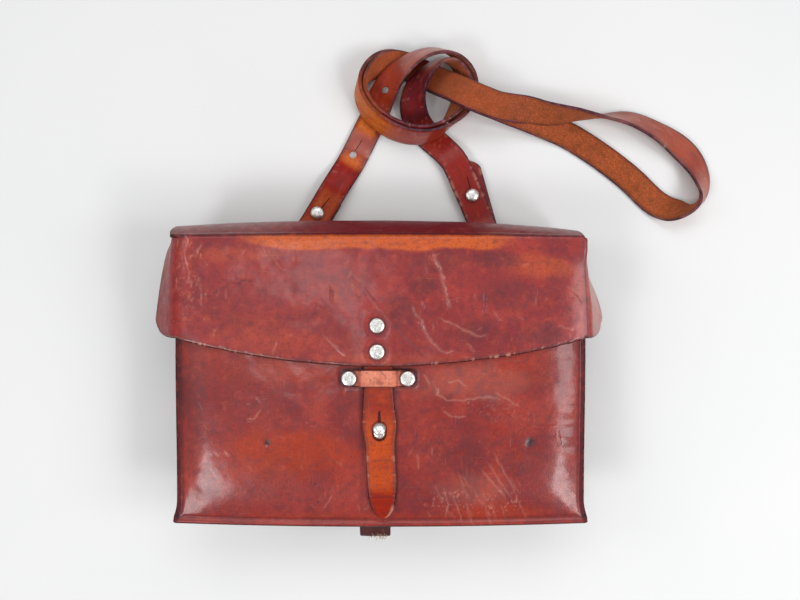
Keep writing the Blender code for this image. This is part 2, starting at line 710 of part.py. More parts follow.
COIL_FROM, COIL_TO = 14, 36  # rows of LEFT_GUIDE between which both strands run side by side
STRAND_GAP = 3.6  # the right strand lies beside the left one, on its flesh side
STRAND_SPREAD = 1.5  # extra gap where the coil's first bend rolls over
EDGE_CLEAR = 0.15  # distance from the bending plane to the leather on either side
STRAP_CUT_Y = STRAP_AXIS[0] + EDGE_CLEAR


def blend(at, start, end, first, second):
    return (end - at) / (end - start) * first + (at - start) / (end - start) * second


def spline(points, pitch):
    """A centripetal curve through rows of (x, y, z, roll), stepped about every pitch mm."""
    rows = np.array(points, float)
    rows = np.vstack([2 * rows[0] - rows[1], rows, 2 * rows[-1] - rows[-2]])
    steps = []
    for i in range(1, len(rows) - 2):
        quad = rows[i - 1 : i + 3]
        knots = [0.0]
        for a, b in zip(quad, quad[1:]):
            knots.append(knots[-1] + math.sqrt(max(np.linalg.norm((b - a)[:3]), 1e-6)))
        count = max(1, int(round(np.linalg.norm((quad[2] - quad[1])[:3]) / pitch)))
        for k in range(count):
            at = knots[1] + (knots[2] - knots[1]) * k / count
            level = quad
            for span in (1, 2):
                level = [
                    blend(at, knots[m], knots[m + span], level[m], level[m + 1])
                    for m in range(len(level) - 1)
                ]
            steps.append(blend(at, knots[1], knots[2], *level))
    steps.append(rows[-2])
    return np.array(steps)


def frames(steps):
    """Centre, width direction and grain normal at each step of a spline."""
    centre = steps[:, :3]
    tangent = directions(centre)
    level = np.cross(tangent, Z_DIR)
    level /= np.linalg.norm(level, axis=1)[:, None]
    up = np.cross(level, tangent)
    roll = np.radians(steps[:, 3])[:, None]
    across = np.cos(roll) * level + np.sin(roll) * up
    normal = -np.sin(roll) * level + np.cos(roll) * up
    return centre, across, normal


def nearest(steps, point):
    return int(np.argmin(np.linalg.norm(steps[:, :3] - np.array(point[:3]), axis=1)))


def strap_path():
    """The whole strap: right leg, coil beside the left strand, bight, and back along the left
    strand. Gives centres, width directions and normals."""
    left = spline(LEFT_GUIDE, 5.0)
    left_centre, left_across, left_normal = frames(left)
    start, end = nearest(left, LEFT_GUIDE[COIL_FROM]), nearest(left, LEFT_GUIDE[COIL_TO])
    beside = slice(start, end + 1)
    roll = left[beside, 3]
    in_first_bend = np.arange(len(roll)) < len(roll) * 0.35
    gap = STRAND_GAP + STRAND_SPREAD * np.exp(-(((roll - 118) / 22.0) ** 2)) * in_first_bend
    coil_centre = left_centre[beside] - left_normal[beside] * gap[:, None]
    coil = (coil_centre, left_across[beside], left_normal[beside])

    into_coil = [(*coil_centre[0], roll[0]), (*coil_centre[1], roll[1])]
    right = spline(RIGHT_GUIDE + into_coil, 4.0)
    right_end = nearest(right, coil_centre[0])

    out_of_coil = [(*coil_centre[-2], 180.0), (*coil_centre[-1], 180.0)]
    bight = spline(out_of_coil + BIGHT_GUIDE + [LEFT_GUIDE[-1], LEFT_GUIDE[-2]], 4.0)
    bight_start = nearest(bight, coil_centre[-1]) + 1
    bight_end = nearest(bight, LEFT_GUIDE[-1])

    runs = [
        [rows[:right_end] for rows in frames(right)],
        coil,
        [rows[bight_start:bight_end] for rows in frames(bight)],
        (left_centre[::-1], -left_across[::-1], left_normal[::-1]),
    ]
    centre, across, normal = (np.vstack(rows) for rows in zip(*runs))
    half_height = STRAP_W / 2 * np.abs(across[:, 2]) + STRAP_T / 2 * np.abs(normal[:, 2])
    # nothing reaches below the plane it rests on
    centre[:, 2] -= np.minimum(centre[:, 2] - half_height - 0.05, 0)
    return centre, across, normal


def trim_to_y(section, other, y):
    """Slides a section's corners along the ribbon until its end lies in the plane y."""
    return [p + (p - q) / (p - q)[1] * (y - p[1]) for p, q in zip(section, other)]


def trim_end(sections, y):
    """Drops sections that reach past the plane y and ends the ribbon on it."""
    while min(p[1] for p in sections[1]) < y + 0.5:
        sections.pop(0)
    sections[0] = trim_to_y(sections[0], sections[1], y)


def build_shoulder_strap():
    sections = [bar(*frame, STRAP_W / 2, STRAP_T / 2) for frame in zip(*strap_path())]
    for _ in range(2):  # the right end, then the left one
        trim_end(sections, STRAP_CUT_Y)
        sections.reverse()
    sections.reverse()
    return loft(
        "shoulder_strap", sections, leather["strap_leather"], "shoulder_strap", sharp_angle=50
    )


# ---------------------------------------------------------------- strap ends and anchors

SHORT_Z, LONG_Z = 2.5, 8.1  # middle of the short end and of the long run at the bag's edge
ANCHOR_BACK = 20.0  # from the bag's edge to the middle of the anchor band
TURN_S = -8.0  # where the strap's end turns round, measured along it from the anchor
BAND_HALF_L, BAND_HALF_W, BAND_T = 24.0, 8.0, 2.2
BAND_CORNER_R = 3.5
BAND_Z, BAND_RISE = 4.2, 2.8  # lower face in the middle, and how far the ends lie above it
BAND_RIVET_X = 19.0
# edge_x: where the strap crosses the bag's edge; leg and tip: (x, y) directions of the part at
# the anchor and of the short end; tip_len: its length; stud: (x, y); slit: the keyhole's aim
LEGS = {
    "left": dict(
        edge_x=-54.7, leg=(0.519, 0.855), tip=(0.519, 0.855), tip_len=38.0,
        stud=(-46.7, 114.8), slit=(11.7, 14.7),
    ),
    "right": dict(
        edge_x=75.5, leg=(-0.375, 0.927), tip=(-0.27, 0.963), tip_len=56.0,
        stud=(65.2, 127.6), slit=(-2.5, 9.4),
    ),
}


def flat_axes(direction):
    """Unit vectors along a flat strap and across it, to its right."""
    x, y = np.array(direction) / np.linalg.norm(direction)
    return np.array([x, y, 0.0]), np.array([y, -x, 0.0])


def build_strap_end(side, anchor, along, across):
    """The strap's end: down behind the back panel, round the anchor band and back up."""
    mid_z, radius = (LONG_Z + SHORT_Z) / 2, (LONG_Z - SHORT_Z) / 2
    walk = [(s, LONG_Z) for s in (18.0, 10.0, 0.0, TURN_S)]
    for k in range(1, 8):
        angle = math.pi * k / 8
        walk.append((TURN_S - radius * math.sin(angle), mid_z + radius * math.cos(angle)))
    walk += [(s, SHORT_Z) for s in (TURN_S, 0.0, 10.0, 18.0)]
    sections = []
    for (s, z), (tan_s, tan_z) in zip(walk, directions(np.array(walk))):
        centre = anchor + along * s + Z_DIR * z
        normal = -along * tan_z + Z_DIR * tan_s
        sections.append(bar(centre, across, normal, STRAP_W / 2, STRAP_T / 2))
    # both ends stop in the bending plane at the bag's edge
    end_y = STRAP_AXIS[0] - EDGE_CLEAR
    sections[0] = trim_to_y(sections[0], sections[1], end_y)
    sections[-1] = trim_to_y(sections[-1], sections[-2], end_y)
    loft(f"strap_end_{side}", sections, leather["strap_leather"], sharp_angle=40)


def build_strap_anchor(side, anchor, along, across, back_panel):
    """The band that the strap end turns round, riveted through the back panel at both ends."""
    sections = []
    for k in range(25):
        x = -BAND_HALF_L + 2 * BAND_HALF_L * k / 24
        half = BAND_HALF_W
        into_corner = abs(x) - (BAND_HALF_L - BAND_CORNER_R)
        if into_corner >= 0:
            chord = math.sqrt(max(0.0, 1 - (into_corner / BAND_CORNER_R) ** 2))
            half -= BAND_CORNER_R * (1 - chord)
        z = BAND_Z + BAND_RISE * smooth_step((abs(x) - 11.2) / 3.4) + BAND_T / 2
        sections.append(bar(anchor + across * x + Z_DIR * z, along, Z_DIR, half, BAND_T / 2))
    band = loft(f"strap_anchor_{side}", sections, leather["anchor_leather"])
    inner_x = BAND_RIVET_X if side == "left" else -BAND_RIVET_X
    for place, offset in (("inner", inner_x), ("outer", -inner_x)):
        x, y, _ = anchor + across * offset
        cut_name = f"anchor_{side}_{place}_cut"
        hole(band, cut_name + "_a", x, y, RIVET_HOLE_R, 2, 9.6)
        hole(back_panel, cut_name + "_b", x, y, RIVET_HOLE_R, 7, 16)
        rivet(f"anchor_rivet_{side}_{place}", x, y, BAND_Z + BAND_RISE - GAP, 7.6, up=-1)
        burr(f"anchor_burr_{side}_{place}", x, y, BACK_Z + BACK_LIFT + BODY_T + GAP)


def build_strap_tip(side, edge, leg, shoulder_strap):
    """The short end beyond the bag's edge, with the stud that the long run buttons onto."""
    body = "shoulder_strap"
    along, across = flat_axes(leg["tip"])
    length = leg["tip_len"]
    sections = []
    for s in (0.0, 8.0, 16.0, 26.0, length - 8.0, length - 3.0, length):
        half = STRAP_W / 2
        if s >= length - 7.5:
            half -= (s - length + 8.0) ** 2 / 8.0 * 0.8
        centre = edge + along * s + Z_DIR * SHORT_Z
        sections.append(bar(centre, across, Z_DIR, half, STRAP_T / 2))
    sections[0] = trim_to_y(sections[0], sections[1], STRAP_CUT_Y)
    tip = loft(f"strap_tip_{side}", sections, leather["strap_leather"], body)
    x, y = leg["stud"]
    hole(tip, f"strap_tip_{side}_cut", x, y, STUD_HOLE_R, 0, 4.0, body)
    button_stud(f"strap_stud_{side}", x, y, SHORT_Z + STRAP_T / 2 + GAP, 3.3, body)
    stud_screw(f"strap_screw_{side}", x, y, SHORT_Z - STRAP_T / 2 - 0.15, 5.4, body)
    slit_x, slit_y = leg["slit"]
    outline = keyhole(x, y, radius=2.8, towards=math.atan2(slit_y, slit_x), length=12.0)
    cutter = prism_cutter(f"strap_{side}_keyhole_cut", outline, 2, 10, body)
    cut(shoulder_strap, cutter, f"keyhole_{side}")


def build_leg(side, leg, back_panel, shoulder_strap):
    along, across = flat_axes(leg["leg"])
    edge = np.array([leg["edge_x"], STRAP_AXIS[0], 0.0])
    anchor = edge - along * ANCHOR_BACK
    build_strap_end(side, anchor, along, across)
    build_strap_anchor(side, anchor, along, across, back_panel)
    build_strap_tip(side, edge, leg, shoulder_strap)


def cut_spare_holes(shoulder_strap):
    """A spare keyhole and a round hole further along the left strand."""
    body = "shoulder_strap"
    outline = keyhole(-21.3, 157.8, radius=2.7, towards=math.atan2(9.5, 5.8), length=10.0)
    spare = prism_cutter("strap_spare_keyhole_cut", outline, -1, 5, body)
    cut(shoulder_strap, spare, "spare_keyhole")
    third = prism_cutter("strap_third_hole_cut", circle(2.2, 203.7, 2.5), 2, 13, body)
    cut(shoulder_strap, third, "third_hole")


# ---------------------------------------------------------------- assembly


def build_case():
    front_panel = build_front_panel()
    back_panel = build_back_panel()
    gusset = build_gusset()
    build_flap_top()
    flap_front = build_flap_front()
    closure_strap = build_closure_strap()
    build_closure_tongue()
    add_flap_rivets(flap_front, closure_strap)
    build_keeper(front_panel)
    build_closure_stud(front_panel)
    build_bottom_loop(gusset)
    shoulder_strap = build_shoulder_strap()
    for side, leg in LEGS.items():
        build_leg(side, leg, back_panel, shoulder_strap)
    cut_spare_holes(shoulder_strap)


build_case()
bpy.context.view_layer.update()
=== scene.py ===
"""A leather case with a flap, a closure strap and a coiled shoulder strap.

The case lies on its back. X runs across it, with its left at -X; Y runs up it, so that the flap
folds over at +Y and the shoulder strap is coiled beyond; Z points up, out of the front.
Lengths are in millimetres, and z is counted from the plane that the case lies on, BASE_Z under
the frame's origin. Only lights, camera, floor and blends are given in metres.

Leather carries these values per point: rest (the place its texture is read at), wear, dirt
(grime, and painted shade in grooves, hollows and beside raised parts), mark (pale scratches,
and painted highlights), deepen (towards the deep colour, in places as painted shade), dull
(without polish), side (1 on the flesh side) and edge (1 on the cut rim).
"""

import math

import bmesh
import bpy
import numpy as np
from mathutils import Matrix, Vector, kdtree


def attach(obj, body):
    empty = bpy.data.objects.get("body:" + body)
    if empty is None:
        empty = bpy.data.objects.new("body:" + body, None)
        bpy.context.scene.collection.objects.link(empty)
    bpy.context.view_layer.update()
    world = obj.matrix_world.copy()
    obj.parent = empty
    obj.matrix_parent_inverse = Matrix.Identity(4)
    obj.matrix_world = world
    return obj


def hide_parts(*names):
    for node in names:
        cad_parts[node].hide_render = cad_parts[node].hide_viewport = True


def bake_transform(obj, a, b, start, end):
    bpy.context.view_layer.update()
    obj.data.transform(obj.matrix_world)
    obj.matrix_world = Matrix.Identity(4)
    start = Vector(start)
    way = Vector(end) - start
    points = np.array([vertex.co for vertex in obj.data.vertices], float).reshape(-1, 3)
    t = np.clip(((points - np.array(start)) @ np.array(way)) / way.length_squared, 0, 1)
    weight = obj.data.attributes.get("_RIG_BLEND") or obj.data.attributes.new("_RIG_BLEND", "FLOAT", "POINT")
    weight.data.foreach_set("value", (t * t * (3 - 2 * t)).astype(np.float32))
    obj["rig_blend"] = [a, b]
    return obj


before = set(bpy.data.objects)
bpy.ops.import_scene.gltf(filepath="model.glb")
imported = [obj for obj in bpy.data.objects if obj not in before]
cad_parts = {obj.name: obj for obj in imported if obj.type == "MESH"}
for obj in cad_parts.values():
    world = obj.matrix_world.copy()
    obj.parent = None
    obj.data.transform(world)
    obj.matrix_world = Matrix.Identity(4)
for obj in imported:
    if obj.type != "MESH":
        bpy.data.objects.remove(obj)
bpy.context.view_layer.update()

BASE_Z = 9.6
MM = 0.001
GAP = 0.3  # left between two layers that lie on each other

# Body
BODY_T, GUSSET_T = 2.8, 2.4
RIM = BODY_T / 2  # a sheet's grid stops this far inside its outline
BACK_Z, BACK_LIFT = 9.6, 0.4
MOUTH_Y = 90.0
FRONT_FLANGE_Z, FRONT_EDGE_Z, DOME = 53.5, 59.0, 6.5
FRONT_FACE_Z = FRONT_EDGE_Z + DOME
WEB_X, WEB_Y, WEB_R = 130.0, -92.2, 10.0  # the gusset's wall, and the radius of its corners
CORNER_X = 136.0

# Flap
HINGE, FOLD = (99.0, 9.6), (92.4, 73.0)  # (y, z) where the top band starts and ends
BEND_Y, BEND_END_Z = 93.6, 17.5  # the back starts to bend, and the bend ends
BAND_HALF = 133.2 - RIM
SPLIT_Z = 60.0  # where the back's leather ends and the flap's begins, just behind the fold
FLAP_X, EAR_DEPTH = 134.7, 40.0
EAR_EDGE = FLAP_X + EAR_DEPTH - RIM
FLAP_LOW_Y, FLAP_SIDE_Y = 8.5, 26.8
FLAP_RIVETS = {"upper": (-1.9, 35.4), "lower": (-1.9, 18.4)}

# Keeper
KEEPER_X, KEEPER_Y = -1.3, 0.8
KEEPER_LENGTH, KEEPER_HEIGHT, KEEPER_T = 51.4, 11.4, 2.0
KEEPER_RIVET_Y = 0.6
KEEPER_RIVETS = {"left": -20.4, "right": 18.0}

# Loop on the bottom of the gusset
LOOP_X, LOOP_Z, LOOP_W, LOOP_T = -4.0, 36.0, 21.0, 2.2

# Shoulder strap
STRAP_W, STRAP_T = 20.0, 2.6
SHORT_Z, LONG_Z = 2.5, 8.1  # the doubled end: the short run lies under the long one
STRAND_GAP = 3.6
STRAP_PITCH = 1.3
ANCHOR_LENGTH, ANCHOR_WIDTH, ANCHOR_CORNER, ANCHOR_T = 48.0, 16.0, 3.5, 2.2
ANCHOR_INSET = 20.0  # from the case's edge in to the band's middle
# edge: where the strap passes the case's edge; leg, tip: directions of the long and short run;
# slit: direction of the stud hole's slit
STRAP_ENDS = {
    "left": {
        "edge": (-54.7, 99.0), "leg": (0.519, 0.855), "stud": (-46.7, 114.8),
        "tip": (0.519, 0.855), "tip_length": 38.0, "slit": (11.7, 14.7),
    },
    "right": {
        "edge": (75.5, 99.0), "leg": (-0.375, 0.927), "stud": (65.2, 127.6),
        "tip": (-0.27, 0.963), "tip_length": 56.0, "slit": (-2.5, 9.4),
    },
}


# ------------------------------------------------------------------ numbers and noise


def smooth01(t):
    t = np.clip(t, 0.0, 1.0)
    return t * t * (3 - 2 * t)


def bell(distance, width):
    return np.exp(-((distance / width) ** 2))


def xyz(x, y, z):
    return np.stack(np.broadcast_arrays(x, y, z), axis=-1)


def unit(vectors):
    return vectors / np.maximum(np.linalg.norm(vectors, axis=-1, keepdims=True), 1e-12)


def lengths_along(points):
    steps = np.linalg.norm(np.diff(points, axis=0), axis=1)
    return np.concatenate([[0], np.cumsum(steps)])


def lattice(ix, iy, seed):
    """A hash of whole-number places, -1 to 1."""
    h = ix.astype(np.int64) * 374761393 + iy.astype(np.int64) * 668265263 + seed * 974711
    h = h & 0x7FFFFFFF
    h = ((h ^ (h >> 13)) * 1274126177) & 0x7FFFFFFF
    return ((h ^ (h >> 16)) & 0xFFFF) / 32767.5 - 1.0


def noise(x, y, size, seed=0):
    """Smooth noise in -1..1 with features about size mm wide."""
    x, y = np.asarray(x, float) / size, np.asarray(y, float) / size
    ix, iy = np.floor(x), np.floor(y)
    fx, fy = x - ix, y - iy
    fx, fy = fx * fx * (3 - 2 * fx), fy * fy * (3 - 2 * fy)
    a, b = lattice(ix, iy, seed), lattice(ix + 1, iy, seed)
    c, d = lattice(ix, iy + 1, seed), lattice(ix + 1, iy + 1, seed)
    return (a * (1 - fx) + b * fx) * (1 - fy) + (c * (1 - fx) + d * fx) * fy


def noise_along(x, size, seed):
    """Noise that varies with x only."""
    return noise(x, x * 0, size, seed)


def fbm(x, y, size, seed=0, octaves=3):
    """Noise with finer layers on top, each half as wide and strong as the last."""
    out, amp, total = 0.0, 1.0, 0.0
    for k in range(octaves):
        out = out + amp * noise(x + 17.3 * k, y - 9.1 * k, size / 2**k, seed + k)
        total += amp
        amp *= 0.5
    return out / total


def ridged(x, y, size, seed):
    """Two layers of noise folded into ridges."""
    out, amp = 0.0, 1.0
    for k in range(2):
        out = out + amp * (1 - np.abs(noise(x, y, size / 2**k, seed + k)) * 2)
        amp *= 0.5
    return out


def to_line(x, y, line, wobble, seed):
    """Distance to a polyline, the side (+ on its left) and how far along it is, 0 to 1."""
    x = x + wobble * noise(x, y, size=3.2, seed=seed + 40)
    y = y + wobble * noise(x, y, size=3.2, seed=seed + 41)
    points = np.array(line, float)
    start = lengths_along(points)
    best = np.full(x.shape, 1e9)
    side = np.zeros(x.shape)
    along = np.zeros(x.shape)
    for k in range(len(points) - 1):
        px, py = points[k]
        dx, dy = points[k + 1] - points[k]
        length = start[k + 1] - start[k]
        t = np.clip(((x - px) * dx + (y - py) * dy) / (length**2), 0, 1)
        ex, ey = x - px - t * dx, y - py - t * dy
        distance = np.hypot(ex, ey)
        near = distance < best
        best = np.where(near, distance, best)
        side = np.where(near, np.sign(dx * ey - dy * ex), side)
        along = np.where(near, (start[k] + t * length) / start[-1], along)
    return best, side, along


def fade_ends(along, margin, steepness):
    return np.clip(np.sin(np.clip(along, margin, 1 - margin) * math.pi) * steepness, 0, 1)


def ray(x, y, angle, length):
    return [(x, y), (x + length * math.cos(angle), y + length * math.sin(angle))]


class Skin:
    """Relief in mm and colouring of a leather sheet at the points x, y of its face."""

    def __init__(self, x, y, relief):
        self.x, self.y, self.relief = x, y, relief
        self.wear, self.dirt, self.mark, self.deepen, self.dull = np.zeros((5, *x.shape))

    def blots(self, *table):
        """Soft uneven patches: (centre x, y, radius x, y, strength, seed)."""
        total = 0.0
        for cx, cy, rx, ry, strength, seed in table:
            away = np.hypot((self.x - cx) / rx, (self.y - cy) / ry)
            away = away + 0.35 * fbm(self.x, self.y, size=14, seed=50 + seed)
            total = total + strength * smooth01((1.15 - away) / 0.7)
        return total

    def creases(self, table, first_seed):
        """Folds in the grain: a raised lip with a furrow on its right side.

        The pale on the lip is a painted highlight, and the dark in a hollow is painted shade.
        """
        for k, (width, height, mark, dirt, line) in enumerate(table):
            distance, side, along = to_line(self.x, self.y, line, 0.7, first_seed + k)
            fade = fade_ends(along, margin=0.02, steepness=2.2)
            across = distance * side
            furrow = bell(across + width * 1.5, width * 1.1)
            self.relief += height * fade * (bell(across, width) - 0.6 * furrow)
            strength = fade * bell(distance, width * 1.3)
            self.mark += mark * strength**2
            self.dirt += dirt * strength

    def scratch(self, line, depth, mark, seed):
        (x0, y0), (x1, y1) = np.min(line, axis=0) - 4, np.max(line, axis=0) + 4
        box = (self.x > x0) & (self.x < x1) & (self.y > y0) & (self.y < y1)
        distance, _, along = to_line(self.x[box], self.y[box], line, 0.5, seed)
        cut = bell(distance, 0.42) * fade_ends(along, margin=0.03, steepness=1.8)
        self.relief[box] -= depth * cut
        self.mark[box] += mark * cut

    def attrs(self, most_wear=1.2):
        return {
            "wear": np.clip(self.wear, 0, most_wear),
            "dirt": np.clip(self.dirt, 0, 1.2),
            "mark": np.clip(self.mark, 0, 1),
            "deepen": np.clip(self.deepen, 0, 1),
            "dull": np.clip(self.dull, 0, 1),
        }


# ------------------------------------------------------------------ meshes


def make_mesh(name, verts, faces, attrs=None, smooth=True):
    """faces: an array of quads, or a list of polygons; attrs: name to a value per vertex."""
    verts = np.asarray(verts, float)
    me = bpy.data.meshes.new(name)
    co = verts * MM
    co[:, 2] -= BASE_Z * MM
    if isinstance(faces, np.ndarray):
        count, corners = faces.shape
        me.vertices.add(len(co))
        me.vertices.foreach_set("co", co.astype(np.float32).ravel())
        me.loops.add(count * corners)
        me.loops.foreach_set("vertex_index", faces.astype(np.int32).ravel())
        me.polygons.add(count)
        starts = np.arange(0, count * corners, corners, dtype=np.int32)
        me.polygons.foreach_set("loop_start", starts)
        me.update(calc_edges=True)
        me.validate()
    else:
        me.from_pydata([tuple(c) for c in co], [], [tuple(f) for f in faces])
        me.update()
    if smooth:
        me.shade_smooth()
    ob = bpy.data.objects.new(name, me)
    bpy.context.scene.collection.objects.link(ob)
    attrs = attrs or {}
    for key, value in {**attrs, "rest": attrs.get("rest", verts)}.items():
        add_attribute(me, key, np.asarray(value, np.float32))
    return ob


def add_attribute(me, key, value):
    vector = value.ndim == 2 and value.shape[1] == 3
    attribute = me.attributes.new(key, "FLOAT_VECTOR" if vector else "FLOAT", "POINT")
    attribute.data.foreach_set("vector" if vector else "value", value.ravel())


def read_places(me):
    co = np.empty(len(me.vertices) * 3)
    me.vertices.foreach_get("co", co)
    return co.reshape(-1, 3)


def fix_normals(ob):
    bm = bmesh.new()
    bm.from_mesh(ob.data)
    bmesh.ops.recalc_face_normals(bm, faces=bm.faces)
    bm.to_mesh(ob.data)
    bm.free()


def sharpen(ob, degrees):
    ob.data.set_sharp_from_angle(angle=math.radians(degrees))


def grid_quads(rows, columns):
    i, j = np.meshgrid(np.arange(rows - 1), np.arange(columns - 1), indexing="ij")
    a = (i * columns + j).ravel()
    return np.stack([a, a + 1, a + columns + 1, a + columns], axis=1)


def loop_quads(rows, points):
    """Quads between closed rows of points."""
    index = np.arange(rows * points).reshape(rows, points)
    a, b = index[:-1], index[1:]
    corners = [a, np.roll(a, -1, axis=1), np.roll(b, -1, axis=1), b]
    return np.stack(corners, axis=-1).reshape(-1, 4)


def vertex_normals(points, quads):
    d1 = points[quads[:, 2]] - points[quads[:, 0]]
    d2 = points[quads[:, 3]] - points[quads[:, 1]]
    face_normals = np.cross(d1, d2)
    normals = np.zeros_like(points)
    for k in range(4):
        np.add.at(normals, quads[:, k], face_normals)
    return unit(normals)


def sheet(name, grid, outward, thick, attrs, keep=None, flat_edges=None):
    """A leather sheet; grid (rows x columns x 3) is its outer face, which looks outward.

    keep says which cells exist. The rim is rounded and stands thick/2 proud of the grid, but
    is square at the points in flat_edges. attrs are per grid point.
    """
    rows, columns = grid.shape[:2]
    if keep is None:
        keep = np.ones((rows - 1, columns - 1), bool)
    if flat_edges is None:
        flat_edges = np.zeros((rows, columns), bool)
    middle = grid[rows // 2, columns // 2]
    over = grid[rows // 2, columns // 2 + 1] - middle
    down = grid[rows // 2 + 1, columns // 2] - middle
    if np.dot(np.cross(over, down), outward) < 0:
        grid, keep, flat_edges = grid[:, ::-1], keep[:, ::-1], flat_edges[:, ::-1]
        attrs = {k: v[:, ::-1] for k, v in attrs.items()}

    top = grid.reshape(-1, 3)
    quads = grid_quads(rows, columns)[keep.ravel()]
    normals = vertex_normals(top, quads)
    used = np.unique(quads)
    renumber = np.full(len(top), -1)
    renumber[used] = np.arange(len(used))
    quads = renumber[quads]
    top, normals = top[used], normals[used]
    attrs = {k: np.asarray(v, float).reshape(-1)[used] for k, v in attrs.items()}
    flat = flat_edges.reshape(-1)[used]
    count = len(top)
    low = top - normals * thick

    # the boundary, as directed edges, and the way out of the sheet at its points
    edges = np.concatenate([quads[:, [k, (k + 1) % 4]] for k in range(4)])
    key = np.sort(edges, axis=1)
    key = key[:, 0].astype(np.int64) * count + key[:, 1]
    _, inverse, uses = np.unique(key, return_inverse=True, return_counts=True)
    rim = edges[uses[inverse] == 1]
    out = np.zeros_like(top)
    along = top[rim[:, 1]] - top[rim[:, 0]]
    away = np.cross(along, (normals[rim[:, 0]] + normals[rim[:, 1]]) / 2)
    np.add.at(out, rim[:, 0], away)
    np.add.at(out, rim[:, 1], away)
    on_rim = np.unique(rim)
    out = unit(out[on_rim])

    # rings of points round the rim, from the top to the underside
    round_steps = 5
    rounded = np.where(flat[on_rim], 0.0, 1.0)
    mid = (top[on_rim] + low[on_rim]) / 2
    half = (top[on_rim] - low[on_rim]) / 2
    verts = [top, low]
    rings = [np.arange(count)]
    for k in range(1, round_steps):
        angle = math.pi / 2 - math.pi * k / round_steps
        push = out * rounded[:, None] * (thick / 2) * math.cos(angle)
        verts.append(mid + half * math.sin(angle) + push)
        ids = np.full(count, -1)
        ids[on_rim] = count * 2 + (k - 1) * len(on_rim) + np.arange(len(on_rim))
        rings.append(ids)
    rings.append(np.arange(count) + count)
    faces = [quads, quads[:, ::-1] + count]
    for u, v in zip(rings, rings[1:]):
        strip = [u[rim[:, 1]], u[rim[:, 0]], v[rim[:, 0]], v[rim[:, 1]]]
        faces.append(np.stack(strip, axis=1))

    full = {}
    for k, v in attrs.items():
        under = v * 0 if k in ("wear", "dirt", "mark") else v
        full[k] = np.concatenate([v, under, np.tile(v[on_rim], round_steps - 1)])
    on_round = np.tile(rounded, round_steps - 1)
    full["side"] = np.concatenate([np.zeros(count), np.ones(count), on_round * 0])
    full["edge"] = np.concatenate([np.zeros(2 * count), on_round])
    return make_mesh(name, np.vstack(verts), np.vstack(faces), full)


def ribbon_profile(steps):
    """A strap's section: (place across, -1 to 1; height, -1 to 1; how far round the rim)."""
    across = np.linspace(-1, 1, steps + 1)
    turn = [math.pi / 2 - math.pi * k / 4 for k in (1, 2, 3)]
    rows = [(a, 1, 0.0) for a in across]
    rows += [(1, math.sin(t), math.cos(t)) for t in turn]
    rows += [(a, -1, 0.0) for a in across[::-1]]
    rows += [(-1, -math.sin(t), math.cos(t)) for t in turn]
    return np.array(rows)


RIBBON_STEPS = 10
RIBBON = ribbon_profile(RIBBON_STEPS)


def ribbon(name, centres, across, grain, width, thick, attrs, all_grain=False):
    """A strap along centres, with its width directions and grain normals.

    width and attrs hold a value per centre; attrs may also hold one per point of the section.
    Where all_grain is set, the underside is finished like the grain side.
    """
    rows, size = len(centres), len(RIBBON)
    width = np.broadcast_to(np.asarray(width, float), (rows,))
    place, height, bulge = RIBBON.T
    r = thick / 2
    off = place * (width / 2 - r)[:, None] + np.copysign(bulge * r, place)
    pillow = np.where((height > 0) & (bulge == 0), 0.10 * (1 - place * place), 0.0)
    rise = (height * r + pillow)[None, :, None]
    verts = centres[:, None] + across[:, None] * off[..., None] + grain[:, None] * rise
    rest = xyz(lengths_along(centres)[:, None], place * width[:, None] / 2, height * r)
    flesh = np.where((height < 0) & (bulge == 0), 1.0, 0.0)
    flesh = flesh * np.where(np.broadcast_to(all_grain, (rows,)), 0.0, 1.0)[:, None]
    full = {
        "rest": rest.reshape(-1, 3),
        "side": flesh.ravel(),
        "edge": np.tile(np.where(bulge > 0, 1.0, 0.0), rows),
    }
    for key, v in attrs.items():
        v = np.asarray(v, float)
        full[key] = np.repeat(v, size) if v.ndim == 1 else v.reshape(-1)
    faces = [tuple(q) for q in loop_quads(rows, size)]
    # each end is closed with quads across the strip and a cap at either rim
    n = RIBBON_STEPS
    for row, flip in ((0, True), (rows - 1, False)):
        s = row * size
        top = [s + q for q in range(n + 1)]
        low = [s + n + 4 + q for q in range(n + 1)][::-1]
        cap = [(top[q], top[q + 1], low[q + 1], low[q]) for q in range(n)]
        cap.append(tuple(s + n + q for q in range(5)))
        cap.append((*(s + 2 * n + 4 + q for q in range(4)), s))
        faces += cap if flip else [f[::-1] for f in cap]
    ob = make_mesh(name, verts.reshape(-1, 3), faces, full)
    fix_normals(ob)
    return ob


def section_attrs(across, along, **values):
    """Values over a ribbon's section, filled out to its full grid."""
    shape = (len(along), len(across))
    return {k: v if np.ndim(v) == 1 else np.broadcast_to(v, shape) for k, v in values.items()}


def threads(name, paths, radius, segs):
    """Round threads along rows of points, each capped, in one mesh."""
    verts, faces = [], []
    for path in paths:
        points = np.array(path, float)
        along = unit(np.gradient(points, axis=0))
        u = unit(np.cross(along, np.array([0.31, 0.17, 0.93])))
        v = np.cross(along, u)
        start = len(verts)
        last = len(points) - 1
        for k in range(last + 1):
            r = radius * (0.55 if k in (0, last) else 1.0)
            for s in range(segs):
                a = 2 * math.pi * s / segs
                verts.append(points[k] + r * (u[k] * math.cos(a) + v[k] * math.sin(a)))
        for k in range(last):
            for s in range(segs):
                a, b = start + k * segs + s, start + k * segs + (s + 1) % segs
                faces.append((a, b, b + segs, a + segs))
        faces.append(tuple(start + s for s in range(segs))[::-1])
        faces.append(tuple(start + last * segs + s for s in range(segs)))
    ob = make_mesh(name, np.array(verts), faces)
    fix_normals(ob)
    return ob


